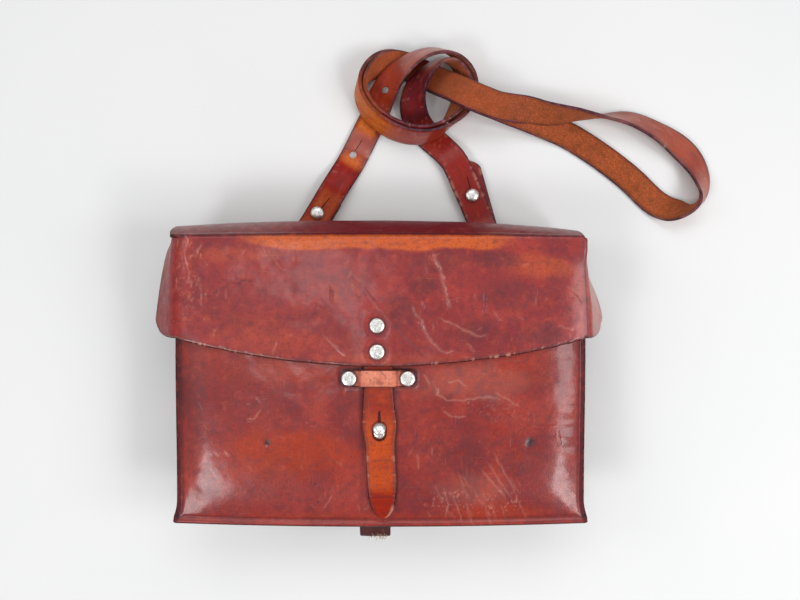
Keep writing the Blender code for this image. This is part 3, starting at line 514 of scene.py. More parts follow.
def turned(name, profile, centre, axis, segs, dent, seed):
    """A profile of (radius, height) turned about an axis; dent roughens it like hammering."""
    up = np.array(axis, float)
    up /= np.linalg.norm(up)
    right = np.cross([0, 1, 0], up) if abs(up[1]) < 0.9 else np.cross([1, 0, 0], up)
    right /= np.linalg.norm(right)
    fore = np.cross(up, right)
    phase = np.random.default_rng(seed + 100).uniform(0, 6.28, 6)
    verts, rings = [], []
    for r, h in profile:
        if r < 1e-6:
            rings.append([len(verts)])
            verts.append(np.array(centre) + up * h)
            continue
        rings.append(list(range(len(verts), len(verts) + segs)))
        for i in range(segs):
            a = 2 * math.pi * i / segs
            d = math.sin(3 * a + phase[0] + r) * math.sin(r * 1.9 + phase[1])
            d += 0.6 * math.sin(5 * a + phase[2] - r * 1.3)
            d += 0.4 * math.sin(9 * a + phase[3] + 2 * r)
            d *= dent
            flat = right * r * math.cos(a) * (1 + d * 0.03)
            flat = flat + fore * r * math.sin(a) * (1 + d * 0.03)
            verts.append(np.array(centre) + flat + up * (h + d * min(1.0, r)))
    pairs = list(zip(rings, rings[1:]))
    if len(rings[0]) > 1 and len(rings[-1]) > 1:
        pairs.append((rings[-1], rings[0]))
    faces = []
    for a, b in pairs:
        for i in range(segs):
            j = (i + 1) % segs
            if len(a) == 1 and len(b) > 1:
                faces.append((a[0], b[i], b[j]))
            elif len(b) == 1 and len(a) > 1:
                faces.append((a[i], a[j], b[0]))
            elif len(a) > 1:
                faces.append((a[i], a[j], b[j], b[i]))
    ob = make_mesh(name, np.array(verts), faces)
    fix_normals(ob)
    sharpen(ob, 42)
    return ob


# ------------------------------------------------------------------ holes

WORLD_FRAME = ((0, 0, 0), (1, 0, 0), (0, 1, 0), (0, 0, 1))


def cut_away(ob, outline, z0, z1, frame=WORLD_FRAME):
    """Cuts a closed outline (x, y) out of a piece from z0 to z1, in frame (centre, u, v, w)."""
    centre, u, v, w = (np.asarray(q, float) for q in frame)
    n = len(outline)
    verts = [centre + u * x + v * y + w * z for z in (z0, z1) for x, y in outline]
    faces = [tuple(reversed(range(n))), tuple(range(n, 2 * n))]
    faces += [(i, (i + 1) % n, n + (i + 1) % n, n + i) for i in range(n)]
    attrs = {"edge": np.ones(2 * n), "side": np.zeros(2 * n)}
    cutter = make_mesh("cutter", verts, faces, attrs, smooth=False)
    fix_normals(cutter)

    old = ob.data
    old_co = read_places(old)
    kept = {}
    for a in old.attributes:
        numeric = a.data_type in ("FLOAT", "FLOAT_VECTOR")
        if a.domain == "POINT" and numeric and a.name != "position":
            vector = a.data_type == "FLOAT_VECTOR"
            values = np.empty(len(old_co) * (3 if vector else 1))
            a.data.foreach_get("vector" if vector else "value", values)
            kept[a.name] = values.reshape(len(old_co), -1)
    modifier = ob.modifiers.new("hole", "BOOLEAN")
    modifier.operation, modifier.solver, modifier.object = "DIFFERENCE", "EXACT", cutter
    graph = bpy.context.evaluated_depsgraph_get()
    me = bpy.data.meshes.new_from_object(ob.evaluated_get(graph))
    ob.modifiers.remove(modifier)
    ob.data = me

    # what each point carries is taken from the nearest point before the cut
    co = read_places(me)
    tree = kdtree.KDTree(len(old_co))
    for q, place in enumerate(old_co):
        tree.insert(place, q)
    tree.balance()
    source = np.array([tree.find(place)[1] for place in co])
    moved = (co - old_co[source]) / MM
    for key, values in kept.items():
        out = values[source].copy()
        if key == "rest":
            out += np.clip(moved, -0.5, 0.5)
        if key in me.attributes:
            me.attributes.remove(me.attributes[key])
        add_attribute(me, key, out.astype(np.float32))
    bpy.data.meshes.remove(old)
    bpy.data.objects.remove(cutter, do_unlink=True)


def circle(x, y, radius, segs):
    angles = np.linspace(0, 2 * math.pi, segs + 1)[:-1]
    return [(x + radius * math.cos(a), y + radius * math.sin(a)) for a in angles]


def keyhole(x, y, radius, towards, length, segs, slit=0.9, stretch=0.0):
    """A round hole with a tapering slit; stretch lengthens it on the side away from the slit."""
    half = math.asin(slit / 2 / radius)
    c, s = math.cos(towards), math.sin(towards)
    points = []
    for i in range(segs + 1):
        a = towards + half + (2 * math.pi - 2 * half) * i / segs
        far = stretch if math.cos(a - towards) < -1e-6 else 0.0
        px = x + radius * math.cos(a) - far * c
        points.append((px, y + radius * math.sin(a) - far * s))
    reach = radius + length
    for end in (-0.25 * slit, 0.25 * slit):
        points.append((x + c * reach - s * end, y + s * reach + c * end))
    return points


# ------------------------------------------------------------------ materials


class Nodes:
    """Short names for building a material's node tree."""

    def __init__(self, name):
        self.mat = bpy.data.materials.new(name)
        self.mat.use_nodes = True
        self.tree = self.mat.node_tree
        self.bsdf = self.tree.nodes["Principled BSDF"]

    def node(self, kind):
        return self.tree.nodes.new("ShaderNode" + kind)

    def feed(self, socket, v):
        """Links a socket, or sets it; a colour may be three numbers."""
        if isinstance(v, bpy.types.NodeSocket):
            self.tree.links.new(v, socket)
        else:
            socket.default_value = (*v, 1.0) if isinstance(v, tuple) else v

    def surface(self, **inputs):
        """Feeds the surface shader: Base_Color is its input "Base Color"."""
        for key, v in inputs.items():
            self.feed(self.bsdf.inputs[key.replace("_", " ")], v)

    def attr(self, name, output="Fac"):
        n = self.node("Attribute")
        n.attribute_name = name
        return n.outputs[output]

    def math(self, operation, *values, clamp=False):
        n = self.node("Math")
        n.operation = operation
        n.use_clamp = clamp
        for socket, v in zip(n.inputs, values):
            self.feed(socket, v)
        return n.outputs[0]

    def times(self, a, b, clamp=False):
        return self.math("MULTIPLY", a, b, clamp=clamp)

    def plus(self, a, b, clamp=False):
        return self.math("ADD", a, b, clamp=clamp)

    def inverse(self, v):
        return self.math("SUBTRACT", 1.0, v, clamp=True)

    def noise(self, vector, scale, detail=3.0, rough=0.55, distortion=0.0, stretch=None):
        n = self.node("TexNoise")
        n.inputs["Scale"].default_value = scale
        n.inputs["Detail"].default_value = detail
        n.inputs["Roughness"].default_value = rough
        n.inputs["Distortion"].default_value = distortion
        if stretch:
            scaled = self.node("VectorMath")
            scaled.operation = "MULTIPLY"
            self.feed(scaled.inputs[0], vector)
            scaled.inputs[1].default_value = stretch
            vector = scaled.outputs[0]
        self.feed(n.inputs["Vector"], vector)
        return n.outputs["Fac"]

    def cells(self, vector, scale):
        n = self.node("TexVoronoi")
        n.inputs["Scale"].default_value = scale
        self.feed(n.inputs["Vector"], vector)
        return n.outputs["Distance"]

    def ramp(self, fac, span, to=(0.0, 1.0)):
        """A smooth step over span, between the two values of to."""
        n = self.node("MapRange")
        n.interpolation_type = "SMOOTHSTEP"
        for socket, v in zip(n.inputs, (fac, *span, *to)):
            self.feed(socket, v)
        return n.outputs[0]

    def mix(self, fac, a, b):
        n = self.node("Mix")
        n.data_type = "RGBA"
        for k, v in ((0, fac), (6, a), (7, b)):
            self.feed(n.inputs[k], v)
        return n.outputs[2]

    def tint(self, colour, to, mask, amount, clamp=False):
        """Mixes in another colour where the mask is, as strongly as amount."""
        return self.mix(self.times(mask, amount, clamp), colour, to)

    def bump(self, height, distance):
        n = self.node("Bump")
        n.inputs["Strength"].default_value = 1.0
        n.inputs["Distance"].default_value = distance
        self.feed(n.inputs["Height"], height)
        return n.outputs["Normal"]


def lin(r, g, b):
    """sRGB 0-255 to linear."""
    parts = (r / 255, g / 255, b / 255)
    return tuple(c / 12.92 if c <= 0.04045 else ((c + 0.055) / 1.055) ** 2.4 for c in parts)


def shade(colour, factor):
    return lin(*(min(255, int(c * factor)) for c in colour))


def leather(name, base, deep, worn, flesh=(150, 84, 50), rim=(52, 20, 18), rough=0.36,
            coat=0.35, coat_rough=0.20, mottling=1.0, stretch=(1, 1, 1)):
    """Polished leather. base, deep and worn colour its grain, flesh its underside."""
    m = Nodes(name)
    base, deep, worn = lin(*base), lin(*deep), lin(*worn)
    rest = m.attr("rest", output="Vector")
    wear, dirt, mark, dull, deepen, side, edge = (
        m.attr(k) for k in ("wear", "dirt", "mark", "dull", "deepen", "side", "edge")
    )
    broad = m.noise(rest, scale=0.030, rough=0.55, distortion=0.6, stretch=stretch)
    patch = m.noise(rest, scale=0.11, detail=5, rough=0.62, distortion=0.3, stretch=stretch)
    fine = m.noise(rest, scale=0.7, detail=4, rough=0.6)

    # grain side: mottling, then wear, then grime and painted shade
    col = m.mix(m.ramp(broad, span=(0.36, 0.66), to=(0.0, 0.85 * mottling)), base, deep)
    col = m.tint(col, deep, m.ramp(patch, span=(0.46, 0.72)), amount=0.42 * mottling)
    col = m.tint(col, worn, m.ramp(patch, span=(0.47, 0.27)), amount=0.30 * mottling)
    uneven = m.noise(rest, scale=0.16, detail=4, rough=0.6, stretch=(0.45, 1.6, 1))
    uneven = m.ramp(uneven, span=(0.25, 0.62), to=(0.55, 1.1))
    col = m.tint(col, worn, wear, amount=uneven, clamp=True)
    col = m.mix(deepen, col, deep)
    uneven = m.noise(rest, scale=0.22, detail=4, rough=0.65)
    uneven = m.ramp(uneven, span=(0.3, 0.65), to=(0.72, 1.1))
    # near-black purple where the value is high: grime, and painted shade in grooves, hollows and beside
    # raised parts
    col = m.tint(col, (0.045, 0.013, 0.019), dirt, amount=uneven, clamp=True)
    # small dark specks, cloudy dark and light patches, and small deep spots
    col = m.tint(col, (0.07, 0.012, 0.014), m.ramp(fine, span=(0.50, 0.70)), amount=0.46)
    cloudy = m.noise(rest, scale=0.22, detail=4, rough=0.6, distortion=0.3, stretch=stretch)
    col = m.tint(col, (0.085, 0.016, 0.026), m.ramp(cloudy, span=(0.49, 0.72)), amount=0.42)
    col = m.tint(col, lin(198, 96, 78), m.ramp(cloudy, span=(0.45, 0.24)), amount=0.20)
    spots = m.noise(rest, scale=0.42, rough=0.6)
    col = m.tint(col, deep, m.ramp(spots, span=(0.56, 0.70)), amount=0.20)

    # fine scratches along and across, each kind in patches
    def scratches(direction, patch_scale):
        lines = m.noise(rest, 1.0, detail=2, rough=0.5, distortion=0.25, stretch=direction)
        lines = m.ramp(lines, span=(0.655, 0.70))
        here = m.ramp(m.noise(rest, patch_scale, detail=2, rough=0.5), span=(0.5, 0.62))
        return m.times(lines, here)

    first = scratches((0.05, 1.6, 1.0), patch_scale=0.045)
    scratch = m.math("MAXIMUM", first, scratches((1.5, 0.06, 1.0), patch_scale=0.065))
    col = m.tint(col, lin(214, 150, 130), scratch, amount=0.15)
    # pale where the value is high: scratches and rubbed places, and painted highlights
    col = m.tint(col, lin(222, 160, 140), mark, amount=0.55, clamp=True)

    # flesh side: fibrous suede
    fibres = m.noise(rest, scale=1.3, detail=6, rough=0.75, distortion=1.2)
    blotches = m.noise(rest, scale=0.12, detail=4, rough=0.6)
    suede = m.mix(m.ramp(fibres, span=(0.38, 0.64)), shade(flesh, 0.60), shade(flesh, 1.20))
    spots = m.ramp(m.noise(rest, scale=0.55, rough=0.6), span=(0.54, 0.68))
    suede = m.tint(suede, shade(flesh, 1.35), spots, amount=0.45)
    suede = m.tint(suede, shade(flesh, 0.62), m.ramp(blotches, span=(0.45, 0.7)), amount=0.55)
    suede = m.tint(suede, worn, wear, amount=0.8, clamp=True)
    suede = m.tint(suede, deep, deepen, amount=0.6, clamp=True)
    suede = m.tint(suede, lin(70, 36, 28), dirt, amount=0.6, clamp=True)

    # burnished rim
    uneven = m.ramp(m.noise(rest, scale=0.35, rough=0.6), span=(0.40, 0.72))
    burnished = m.mix(uneven, lin(*rim), shade(rim, 2.1))
    burnished = m.tint(burnished, worn, wear, amount=0.25, clamp=True)
    nicks = m.math("SUBTRACT", mark, 0.30, clamp=True)
    burnished = m.tint(burnished, lin(214, 150, 128), nicks, amount=1.4, clamp=True)
    col = m.mix(side, col, suede)
    col = m.mix(m.ramp(edge, span=(0.25, 0.8)), col, burnished)
    m.surface(Base_Color=col)

    # polish: dirt, scratches and the flesh side are rougher, and dull places have no coat
    roughness = m.plus(rough, m.ramp(patch, span=(0.3, 0.7), to=(-0.05, 0.09)))
    roughness = m.plus(roughness, m.times(dirt, 0.10))
    roughness = m.plus(roughness, m.times(scratch, 0.15))
    roughness = m.plus(roughness, m.times(side, 0.50), clamp=True)
    shine = m.times(m.inverse(side), m.inverse(m.plus(dull, edge, clamp=True)))
    m.surface(
        Roughness=roughness,
        Coat_Weight=m.times(shine, coat),
        Specular_IOR_Level=m.math("MULTIPLY_ADD", m.inverse(dull), 0.27, 0.05),
        Coat_Roughness=coat_rough,
        Coat_IOR=1.45,
        Sheen_Weight=m.times(side, 0.35),
        Sheen_Roughness=0.6,
        Sheen_Tint=lin(214, 150, 110),
    )

    # relief: pebbled grain, pores and scratches; loose fibres on the flesh side
    pebbles = m.cells(rest, scale=0.62)
    pores = m.ramp(m.cells(rest, scale=1.5), span=(0.0, 0.28))
    grain = m.plus(m.times(pebbles, 0.5), m.times(pores, 0.45))
    grain = m.plus(grain, m.times(fine, 0.7))
    grain = m.math("SUBTRACT", grain, m.times(scratch, 0.6))
    grain = m.times(grain, m.inverse(side))
    grain = m.plus(grain, m.times(m.times(fibres, 2.6), side))
    m.surface(Normal=m.bump(grain, distance=0.00014))
    return m.mat


def nickel():
    """Tarnished metal with dark spots and fine scratches."""
    m = Nodes("nickel")
    rest = m.attr("rest", output="Vector")
    tarnish = m.noise(rest, scale=0.55, detail=4, rough=0.6)
    pits = m.noise(rest, scale=2.2, rough=0.6)
    lines = m.noise(rest, 1.0, detail=2, rough=0.5, distortion=0.4, stretch=(0.3, 3.2, 1.0))
    lines = m.ramp(lines, span=(0.60, 0.68))
    bright, tarnished, spotted = (0.86, 0.85, 0.83), (0.66, 0.64, 0.60), (0.28, 0.22, 0.18)
    col = m.mix(m.ramp(tarnish, span=(0.38, 0.68)), bright, tarnished)
    col = m.tint(col, spotted, m.ramp(pits, span=(0.62, 0.74)), amount=0.7)
    roughness = m.ramp(tarnish, span=(0.3, 0.7), to=(0.27, 0.44))
    m.surface(
        Base_Color=col,
        Metallic=1.0,
        Roughness=m.plus(roughness, m.times(lines, 0.14)),
        Normal=m.bump(m.math("SUBTRACT", pits, m.times(lines, 0.5)), distance=0.00006),
    )
    return m.mat


def thread(name, dark, light):
    m = Nodes(name)
    ply = m.noise(m.attr("rest", output="Vector"), scale=2.6, rough=0.6, stretch=(1, 1, 1))
    m.surface(
        Base_Color=m.mix(m.ramp(ply, span=(0.35, 0.68)), lin(*dark), lin(*light)),
        Roughness=0.72,
        Normal=m.bump(ply, distance=0.0001),
    )
    return m.mat


FRONT = leather(
    "front_leather", base=(156, 48, 37), deep=(118, 24, 28), worn=(160, 44, 6),
    rough=0.37, coat=0.66, coat_rough=0.18,
)
FLAP = leather(
    "flap_leather", base=(158, 50, 46), deep=(118, 28, 36), worn=(198, 86, 30),
    rough=0.39, coat=0.50, mottling=0.80,
)
BACK = leather(
    "back_leather", base=(128, 46, 28), deep=(92, 28, 22), worn=(176, 92, 48),
    rough=0.46, coat=0.2,
)
GUSSET = leather(
    "gusset_leather", base=(98, 28, 22), deep=(62, 18, 18), worn=(140, 56, 30),
    rough=0.44, coat=0.25,
)
KEEPER = leather(
    "keeper_leather", base=(214, 106, 74), deep=(160, 66, 52), worn=(226, 138, 110),
    rim=(70, 24, 24),
)
TONGUE = leather(
    "tongue_leather", base=(182, 74, 30), deep=(144, 30, 6), worn=(190, 72, 4),
    rim=(62, 20, 18), rough=0.38, coat=0.30, stretch=(1.6, 0.5, 1),
)
STRAP = leather(
    "strap_leather", base=(150, 44, 26), deep=(140, 20, 8), worn=(210, 108, 36),
    flesh=(158, 76, 42), rim=(54, 24, 34), coat=0.36, stretch=(0.35, 1, 1),
)
ANCHOR = leather(
    "anchor_leather", base=(118, 40, 26), deep=(84, 24, 20), worn=(160, 80, 44),
    rough=0.46, coat=0.2,
)
# very dark: partly the loop's own dark leather, partly painted shade of its inside under the case
LOOP_DARK_AND_SHADE = leather(
    "loop_leather", base=(58, 18, 14), deep=(34, 11, 10), worn=(96, 36, 22),
    rim=(40, 14, 12), rough=0.5, coat=0.15,
)
NICKEL = nickel()
WAXED = thread("waxed_thread", dark=(58, 24, 20), light=(92, 44, 32))
# pale threads: partly the frayed fibres' own pale colour, partly a painted highlight where the frayed edge
# catches the light
FRAY_THREAD_AND_HIGHLIGHT = thread("fray_thread_and_highlight", dark=(150, 120, 92), light=(214, 188, 150))


def dress(ob, mat, body=None, replaces=()):
    ob.data.materials.clear()
    ob.data.materials.append(mat)
    if replaces:
        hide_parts(*replaces)
    if body:
        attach(ob, body)


# ------------------------------------------------------------------ outline of the body


def half_width(y):
    y = np.asarray(y, float)
    width = 132.3 + (135.8 - 132.3) * smooth01((55.0 - y) / 30.0)
    width = width - 1.1 * smooth01((20.0 - y) / 100.0)
    flare = 3.3 * np.minimum(1.2, (-80.0 - y) / 15.0) ** 2
    return width + np.where(y < -80.0, flare, 0.0)


def bottom_edge(x):
    return -96.2 - 2.4 * (1 - (np.asarray(x, float) / 134.0) ** 2)


def back_lift(y):
    return BACK_LIFT * smooth01((y - 52) / 10)


def panel_points(columns, rows, top_y, first_y):
    """Points x, y that fill the body's outline up to top_y; first_y starts the iteration."""
    across, up = np.meshgrid(np.linspace(-1, 1, columns + 1), np.linspace(0, 1, rows + 1))
    y = np.full_like(across, first_y)
    for _ in range(5):
        x = across * (half_width(y) - RIM)
        low = bottom_edge(x) + RIM
        y = low + up * (top_y - low)
    return x, y


# ------------------------------------------------------------------ front panel

# width, height (below 0 it is a hollow), mark (a painted highlight on the lip),
# dirt (painted shade in a hollow), points
FRONT_CREASES = [
    (0.576, 0.646, 0.46, 0, [(35.3, -0.5), (37.9, -9.6), (43.2, -13.6), (55.0, -13.6),
                             (69.4, -11.6), (83.2, -14.2)]),
    (0.54, 0.646, 0.46, 0, [(75.3, -7.7), (83.0, -13.0), (91.0, -18.8)]),
    (0.54, 0.57, 0.46, 0, [(39.9, -20.1), (47.1, -24.7), (56.9, -24.7)]),
    (0.504, 0.456, 0.46, 0, [(43.2, -2.4), (51.0, -0.5), (57.6, -5.7)]),
    (0.504, 0.456, 0.46, 0, [(29.4, 3.5), (32.7, -4.4)]),
    (0.576, -0.418, 0, 0.20, [(85.1, -26.7), (104.8, -30.0), (117.9, -29.3)]),
    (0.576, -0.38, 0, 0.20, [(116.6, -33.3), (119.2, -46.4)]),
    (0.504, 0.342, 0.46, 0, [(-87.3, -26.7), (-82.1, -25.4), (-77.5, -20.1)]),
]
LONG_SCRATCHES = [
    [(74.0, -47.7), (90.4, -77.2)],
    [(70.1, -54.2), (86.5, -79.2)],
    [(65.5, -58.2), (82.5, -77.9)],
    [(41.2, -70.6), (44.5, -82.4), (43.2, -92.3)],
    [(49.7, -82.4), (54.3, -95.6)],
    [(34.0, -45.1), (34.6, -49.7)],
    [(-110.3, -47.7), (-105.7, -51.6)],
    [(-102.4, -47.0), (-99.1, -51.0)],
    [(-112.9, -58.2), (-107.0, -66.0)],
    [(-37.0, -86.0), (-31.5, -76.0)],
    [(-9.0, -86.0), (-6.5, -78.0)],
    [(24.0, -48.0), (25.5, -60.0)],
]
# x, y, radius, depth
FRONT_DENTS = [
    (-74.2, -41.8, 1.9, 0.35), (98.9, -40.5, 2.6, 0.45), (97.2, -42.8, 1.9, 0.3),
    (-42.0, -69.0, 0.9, 0.2), (-6.0, -56.0, 0.9, 0.2), (-41.0, -81.0, 0.8, 0.15),
]
# centre x, y, radius x, y, strength, seed
FRONT_DIRT = [
    (50, -50, 30, 16, 0.20, 7), (95, -55, 18, 10, 0.16, 8), (-60, -60, 30, 12, 0.10, 9),
    (-124, 0, 12, 70, 0.25, 15),
]
FRONT_WEAR = [
    (-55, -48, 50, 18, 1.0, 10), (-62, 4, 60, 9, 0.45, 11), (78, -88, 46, 8, 0.6, 12),
    (95, 6, 22, 16, 0.35, 13), (-30, -92, 90, 4, 0.35, 14),
]
FRONT_DEEPEN = [
    (-95, -10, 34, 30, 0.45, 90), (-90, -78, 44, 14, 0.40, 91), (60, -35, 44, 14, 0.40, 92),
    (20, -70, 34, 14, 0.35, 93), (100, -60, 22, 30, 0.30, 94),
]
FRONT_MARK = [(56, -2, 44, 14, 0.16, 16), (60, -72, 30, 12, 0.14, 17)]


def front_height(x, y, from_side, from_low):
    """Height of the front's face: a dome inside a flat rim, with slack in it."""
    flat = 2.9
    reach = 13.0 + 7.0 * smooth01((60.0 - from_low) / 55.0)
    rise = np.tanh(np.maximum(from_side - flat, 0) / reach)
    rise = rise * np.tanh(np.maximum(from_low - flat - 1.4, 0) / 17.0)
    z = FRONT_EDGE_Z + DOME * rise
    # the seam's groove, and the rim curling up along the bottom
    from_rim = np.minimum(from_side, from_low)
    z -= 0.60 * bell(from_rim - np.where(from_side < from_low, 2.9, 4.6), 1.1)
    z += 0.50 * bell(from_low - 1.8, 1.7)
    # broad and small unevenness
    z += 0.55 * fbm(x, y, size=46, seed=3) * smooth01((from_rim - 8) / 18.0)
    z += 0.15 * fbm(x, y, size=11, seed=9) * smooth01((from_rim - 3) / 6)
    # small folds drawn in from the right, left and bottom
    at_side = bell(from_side - 11.0, 9.0)
    lower = 0.45 + 0.55 * smooth01((60 + y) / 30)
    z += 0.30 * at_side * (x > 0) * fbm(x / 7.0, y, size=5.5, seed=31, octaves=2) * lower
    z += 0.12 * at_side * (x < 0) * fbm(x / 7.0, y, size=8.0, seed=35, octaves=2)
    z += 0.14 * bell(from_low - 10.0, 8.0) * fbm(x, y / 7.0, size=7.5, seed=33, octaves=2)
    return z


def front_scratch_lines():
    """The long scratches, a fan of rubs low on the right, and scattered short ones."""
    lines = list(LONG_SCRATCHES)
    draw = np.random.default_rng(21).uniform
    for _ in range(26):
        x, y, length = draw(30, 92), draw(-88, -58), draw(4, 15)
        lines.append([(x, y), (x + 0.42 * length, y - 0.9 * length)])
    for _ in range(16):
        lines.append(ray(draw(-125, 20), draw(-88, 0), draw(0, 3.1), draw(2, 7)))
    return lines


def build_front():
    x, y = panel_points(330, 226, top_y=MOUTH_Y - RIM, first_y=MOUTH_Y - RIM)
    from_side = half_width(y) - np.abs(x)
    from_low = y - bottom_edge(x)
    skin = Skin(x, y, front_height(x, y, from_side, from_low))
    skin.creases(FRONT_CREASES, first_seed=0)
    for k, line in enumerate(front_scratch_lines()):
        mark = 0.42 * (1.0 if k < len(LONG_SCRATCHES) else 0.6)
        skin.scratch(line, depth=0.10, mark=mark, seed=k)
    for cx, cy, radius, depth in FRONT_DENTS:
        dent = np.exp(-((x - cx) ** 2 + (y - cy) ** 2) / radius**2)
        skin.relief -= depth * dent
        skin.dirt += 1.3 * dent

    # crackled grain on the right
    crack = skin.blots((72, -17, 20, 7, 1, 1), (86, -24, 16, 5, 1, 2), (78, 4, 14, 5, 0.7, 3))
    skin.relief += 0.13 * crack * ridged(x, y, size=2.6, seed=5)
    skin.mark += 0.16 * np.clip(crack, 0, 1) * (ridged(x, y, size=2.2, seed=8) > 1.05)
    # specks rubbed off low on the right
    rub = skin.blots((80.7, -80.8, 13, 9, 1, 4), (48, -80, 20, 9, 0.7, 5))
    skin.relief += 0.10 * rub * noise(x, y, size=1.6, seed=61)
    skin.mark += 0.55 * (noise(x, y, size=1.15, seed=71) > 0.62) * np.clip(rub, 0, 1)
    # a dark crackled place low on the left
    dark = skin.blots((-110, -66, 8, 12, 1, 6))
    skin.dirt += 0.5 * dark * (ridged(x, y, size=3.0, seed=15) > 0.9)

    skin.dirt += skin.blots(*FRONT_DIRT)
    skin.wear += skin.blots(*FRONT_WEAR)
    skin.deepen += skin.blots(*FRONT_DEEPEN)
    skin.mark += skin.blots(*FRONT_MARK)
    # dark rim, and painted shade in the seam's groove along the bottom
    skin.dirt += 0.58 * smooth01(4.0 - from_side) + 0.16 * smooth01((7.0 - from_side) / 4.0)
    skin.dirt += 0.45 * bell(from_low - 4.9, 0.9)
    skin.dull += 0.75 * smooth01(3.6 - from_side)

    # painted shadow round the keeper, whose outline is pressed into the panel
    from_keeper = np.hypot(
        np.maximum(np.abs(x - KEEPER_X) - 22.5, 0), np.maximum(np.abs(y - KEEPER_Y) - 3.4, 0)
    ) - 2.6
    skin.dirt += 0.60 * bell(from_keeper, 0.6) + 0.15 * bell(np.maximum(from_keeper, 0), 3.0)
    skin.relief -= 0.22 * bell(from_keeper, 1.1)
    # pressed by the closure strap's edges, with a painted shadow just outside each
    from_strap = np.abs(x + 0.6)
    ends = smooth01((-2 - y) / 10) * smooth01((y + 92) / 8)
    skin.relief -= 0.16 * bell(from_strap - 10.5, 2.0) * ends
    skin.dirt += 0.30 * bell(from_strap - 11.6, 1.5) * (y < -6) * (y > -88)

    grid = xyz(x, y, skin.relief)
    front = sheet("front_panel_leather", grid, (0, 0, 1), BODY_T, skin.attrs())
    dress(front, FRONT, "bag_body", ("front_panel",))


# ------------------------------------------------------------------ gusset


def gusset_stations():
    """From the right mouth round to the left one: the wall's foot x, y and the rim's x, y."""
    stations = []
    for y in np.linspace(MOUTH_Y - 0.6, WEB_Y + WEB_R, 130):
        stations.append((WEB_X, y, float(half_width(y)), y))
    for k in range(1, 18):
        a = math.radians(90 * k / 18)
        f = k / 9
        if f <= 1:
            rim_y = WEB_Y + WEB_R + (float(bottom_edge(CORNER_X)) - WEB_Y - WEB_R) * f
            rim_x = float(half_width(rim_y))
        else:
            rim_x = CORNER_X - (CORNER_X - WEB_X + WEB_R) * (f - 1)
            rim_y = float(bottom_edge(rim_x))
        foot_x = WEB_X - WEB_R + WEB_R * math.cos(a)
        stations.append((foot_x, WEB_Y + WEB_R - WEB_R * math.sin(a), rim_x, rim_y))
    for x in np.linspace(WEB_X - WEB_R, 0, 90):
        stations.append((x, WEB_Y, x, float(bottom_edge(x))))
    stations += [(-a, b, -c, d) for a, b, c, d in reversed(stations[:-1])]
    return np.array(stations)


def build_gusset():
    """A channel: flanges to the back and the front, standing outwards, and a wall between."""
    stations = gusset_stations()
    foot, rim = stations[:, :2], stations[:, 2:]
    reach = np.linalg.norm(rim - foot, axis=1)
    outward = (rim - foot) / reach[:, None]
    tangent = unit(np.gradient(foot, axis=0))
    inward = np.stack([tangent[:, 1], -tangent[:, 0]], axis=1)
    inward *= -np.sign((inward * foot).sum(axis=1))[:, None]
    low = BACK_Z + BODY_T + GAP + back_lift(foot[:, 1])
    high = FRONT_FLANGE_Z
    along = lengths_along(foot)
    from_middle = np.abs(along - along[-1] / 2)
    bow = 2.2 * (1 - bell(from_middle, 42.0)) * smooth01((along[-1] / 2 - from_middle) / 60)
    r = GUSSET_T / 2
    section = []

    def add(flat, z):
        section.append(xyz(flat[:, 0], flat[:, 1], z))

    def flange(start, end, count, z):
        for f in np.linspace(start, end, count):
            add(foot + outward * (f * (reach - r))[:, None], z)

    def rounded_rim(z):
        for k in range(1, 5):
            a = -math.pi / 2 + math.pi * k / 5
            add(rim - outward * r + outward * (r * math.cos(a)), z + r + r * math.sin(a))

    def wall(start, end, offset, bottom, top):
        for f in np.linspace(start, end, 15):
            wave = 0.35 * noise(along, np.full_like(along, f * 30.0), size=22, seed=12)
            lean = (bow + wave) * math.sin(math.pi * f) + offset
            add(foot + inward * lean[:, None], bottom + (top - bottom) * f)

    flange(0, 1, 7, low)
    rounded_rim(low)
    flange(1, 0.30, 6, low + GUSSET_T)
    wall(0.03, 0.97, 0, low + GUSSET_T, high)
    flange(0.30, 1, 6, high)
    rounded_rim(high)
    flange(1, 0, 7, high + GUSSET_T)
    wall(1.0, 0.0, GUSSET_T, low, high + GUSSET_T)

    points = np.stack(section, axis=1)
    rows, size = points.shape[:2]
    faces = [tuple(q) for q in loop_quads(rows, size)]
    faces.append(tuple(range(size))[::-1])
    faces.append(tuple((rows - 1) * size + q for q in range(size)))
    side, edge = np.zeros((2, rows, size))
    side[:, -15:] = 1  # the inner wall
    for first in (7, 38):  # the two rounded rims
        edge[:, first : first + 4] = 1
    x, y, z = points[..., 0], points[..., 1], points[..., 2]
    attrs = {
        "side": side.ravel(),
        "edge": edge.ravel(),
        "wear": 0.2 * (0.5 + 0.5 * noise(x + y, z, size=18, seed=5)).ravel(),
        "dirt": np.full(rows * size, 0.15),
    }
    gusset = make_mesh("gusset_leather", points.reshape(-1, 3), faces, attrs)
    fix_normals(gusset)
    sharpen(gusset, 60)
    dress(gusset, GUSSET, "bag_body", ("gusset",))


# ------------------------------------------------------------------ top band


def band_row(x, z):
    """A row of the band between the back and the fold, bulging towards +Y."""
    t = (z - HINGE[1]) / (FOLD[1] - HINGE[1])
    wobble = 0.30 * fbm(x, z, size=30, seed=77, octaves=2)
    wobble = wobble * np.sin(np.clip((z - 10) / 63, 0, 1) * math.pi)
    # a little wider, mostly at its left end
    wider = smooth01((z - 18.0) / 30.0) * (1 - 0.30 * smooth01((z - 61.0) / 9.0))
    return xyz(x * (1 + np.where(x < 0, 0.043, 0.004) * wider), band_y(x, t) + wobble, z)


def band_y(x, t):
    drop = np.where(x < 0, 3.6, 6.6)
    bulge = 10.3 - drop * np.abs(x / 133.0) ** np.where(x < 0, 2.6, 2.3)
    straight = HINGE[0] + (FOLD[0] + 0.15 - HINGE[0]) * t
    return straight + bulge * 4 * t * (1 - t) * (1 + 0.35 * (2 * t - 1))


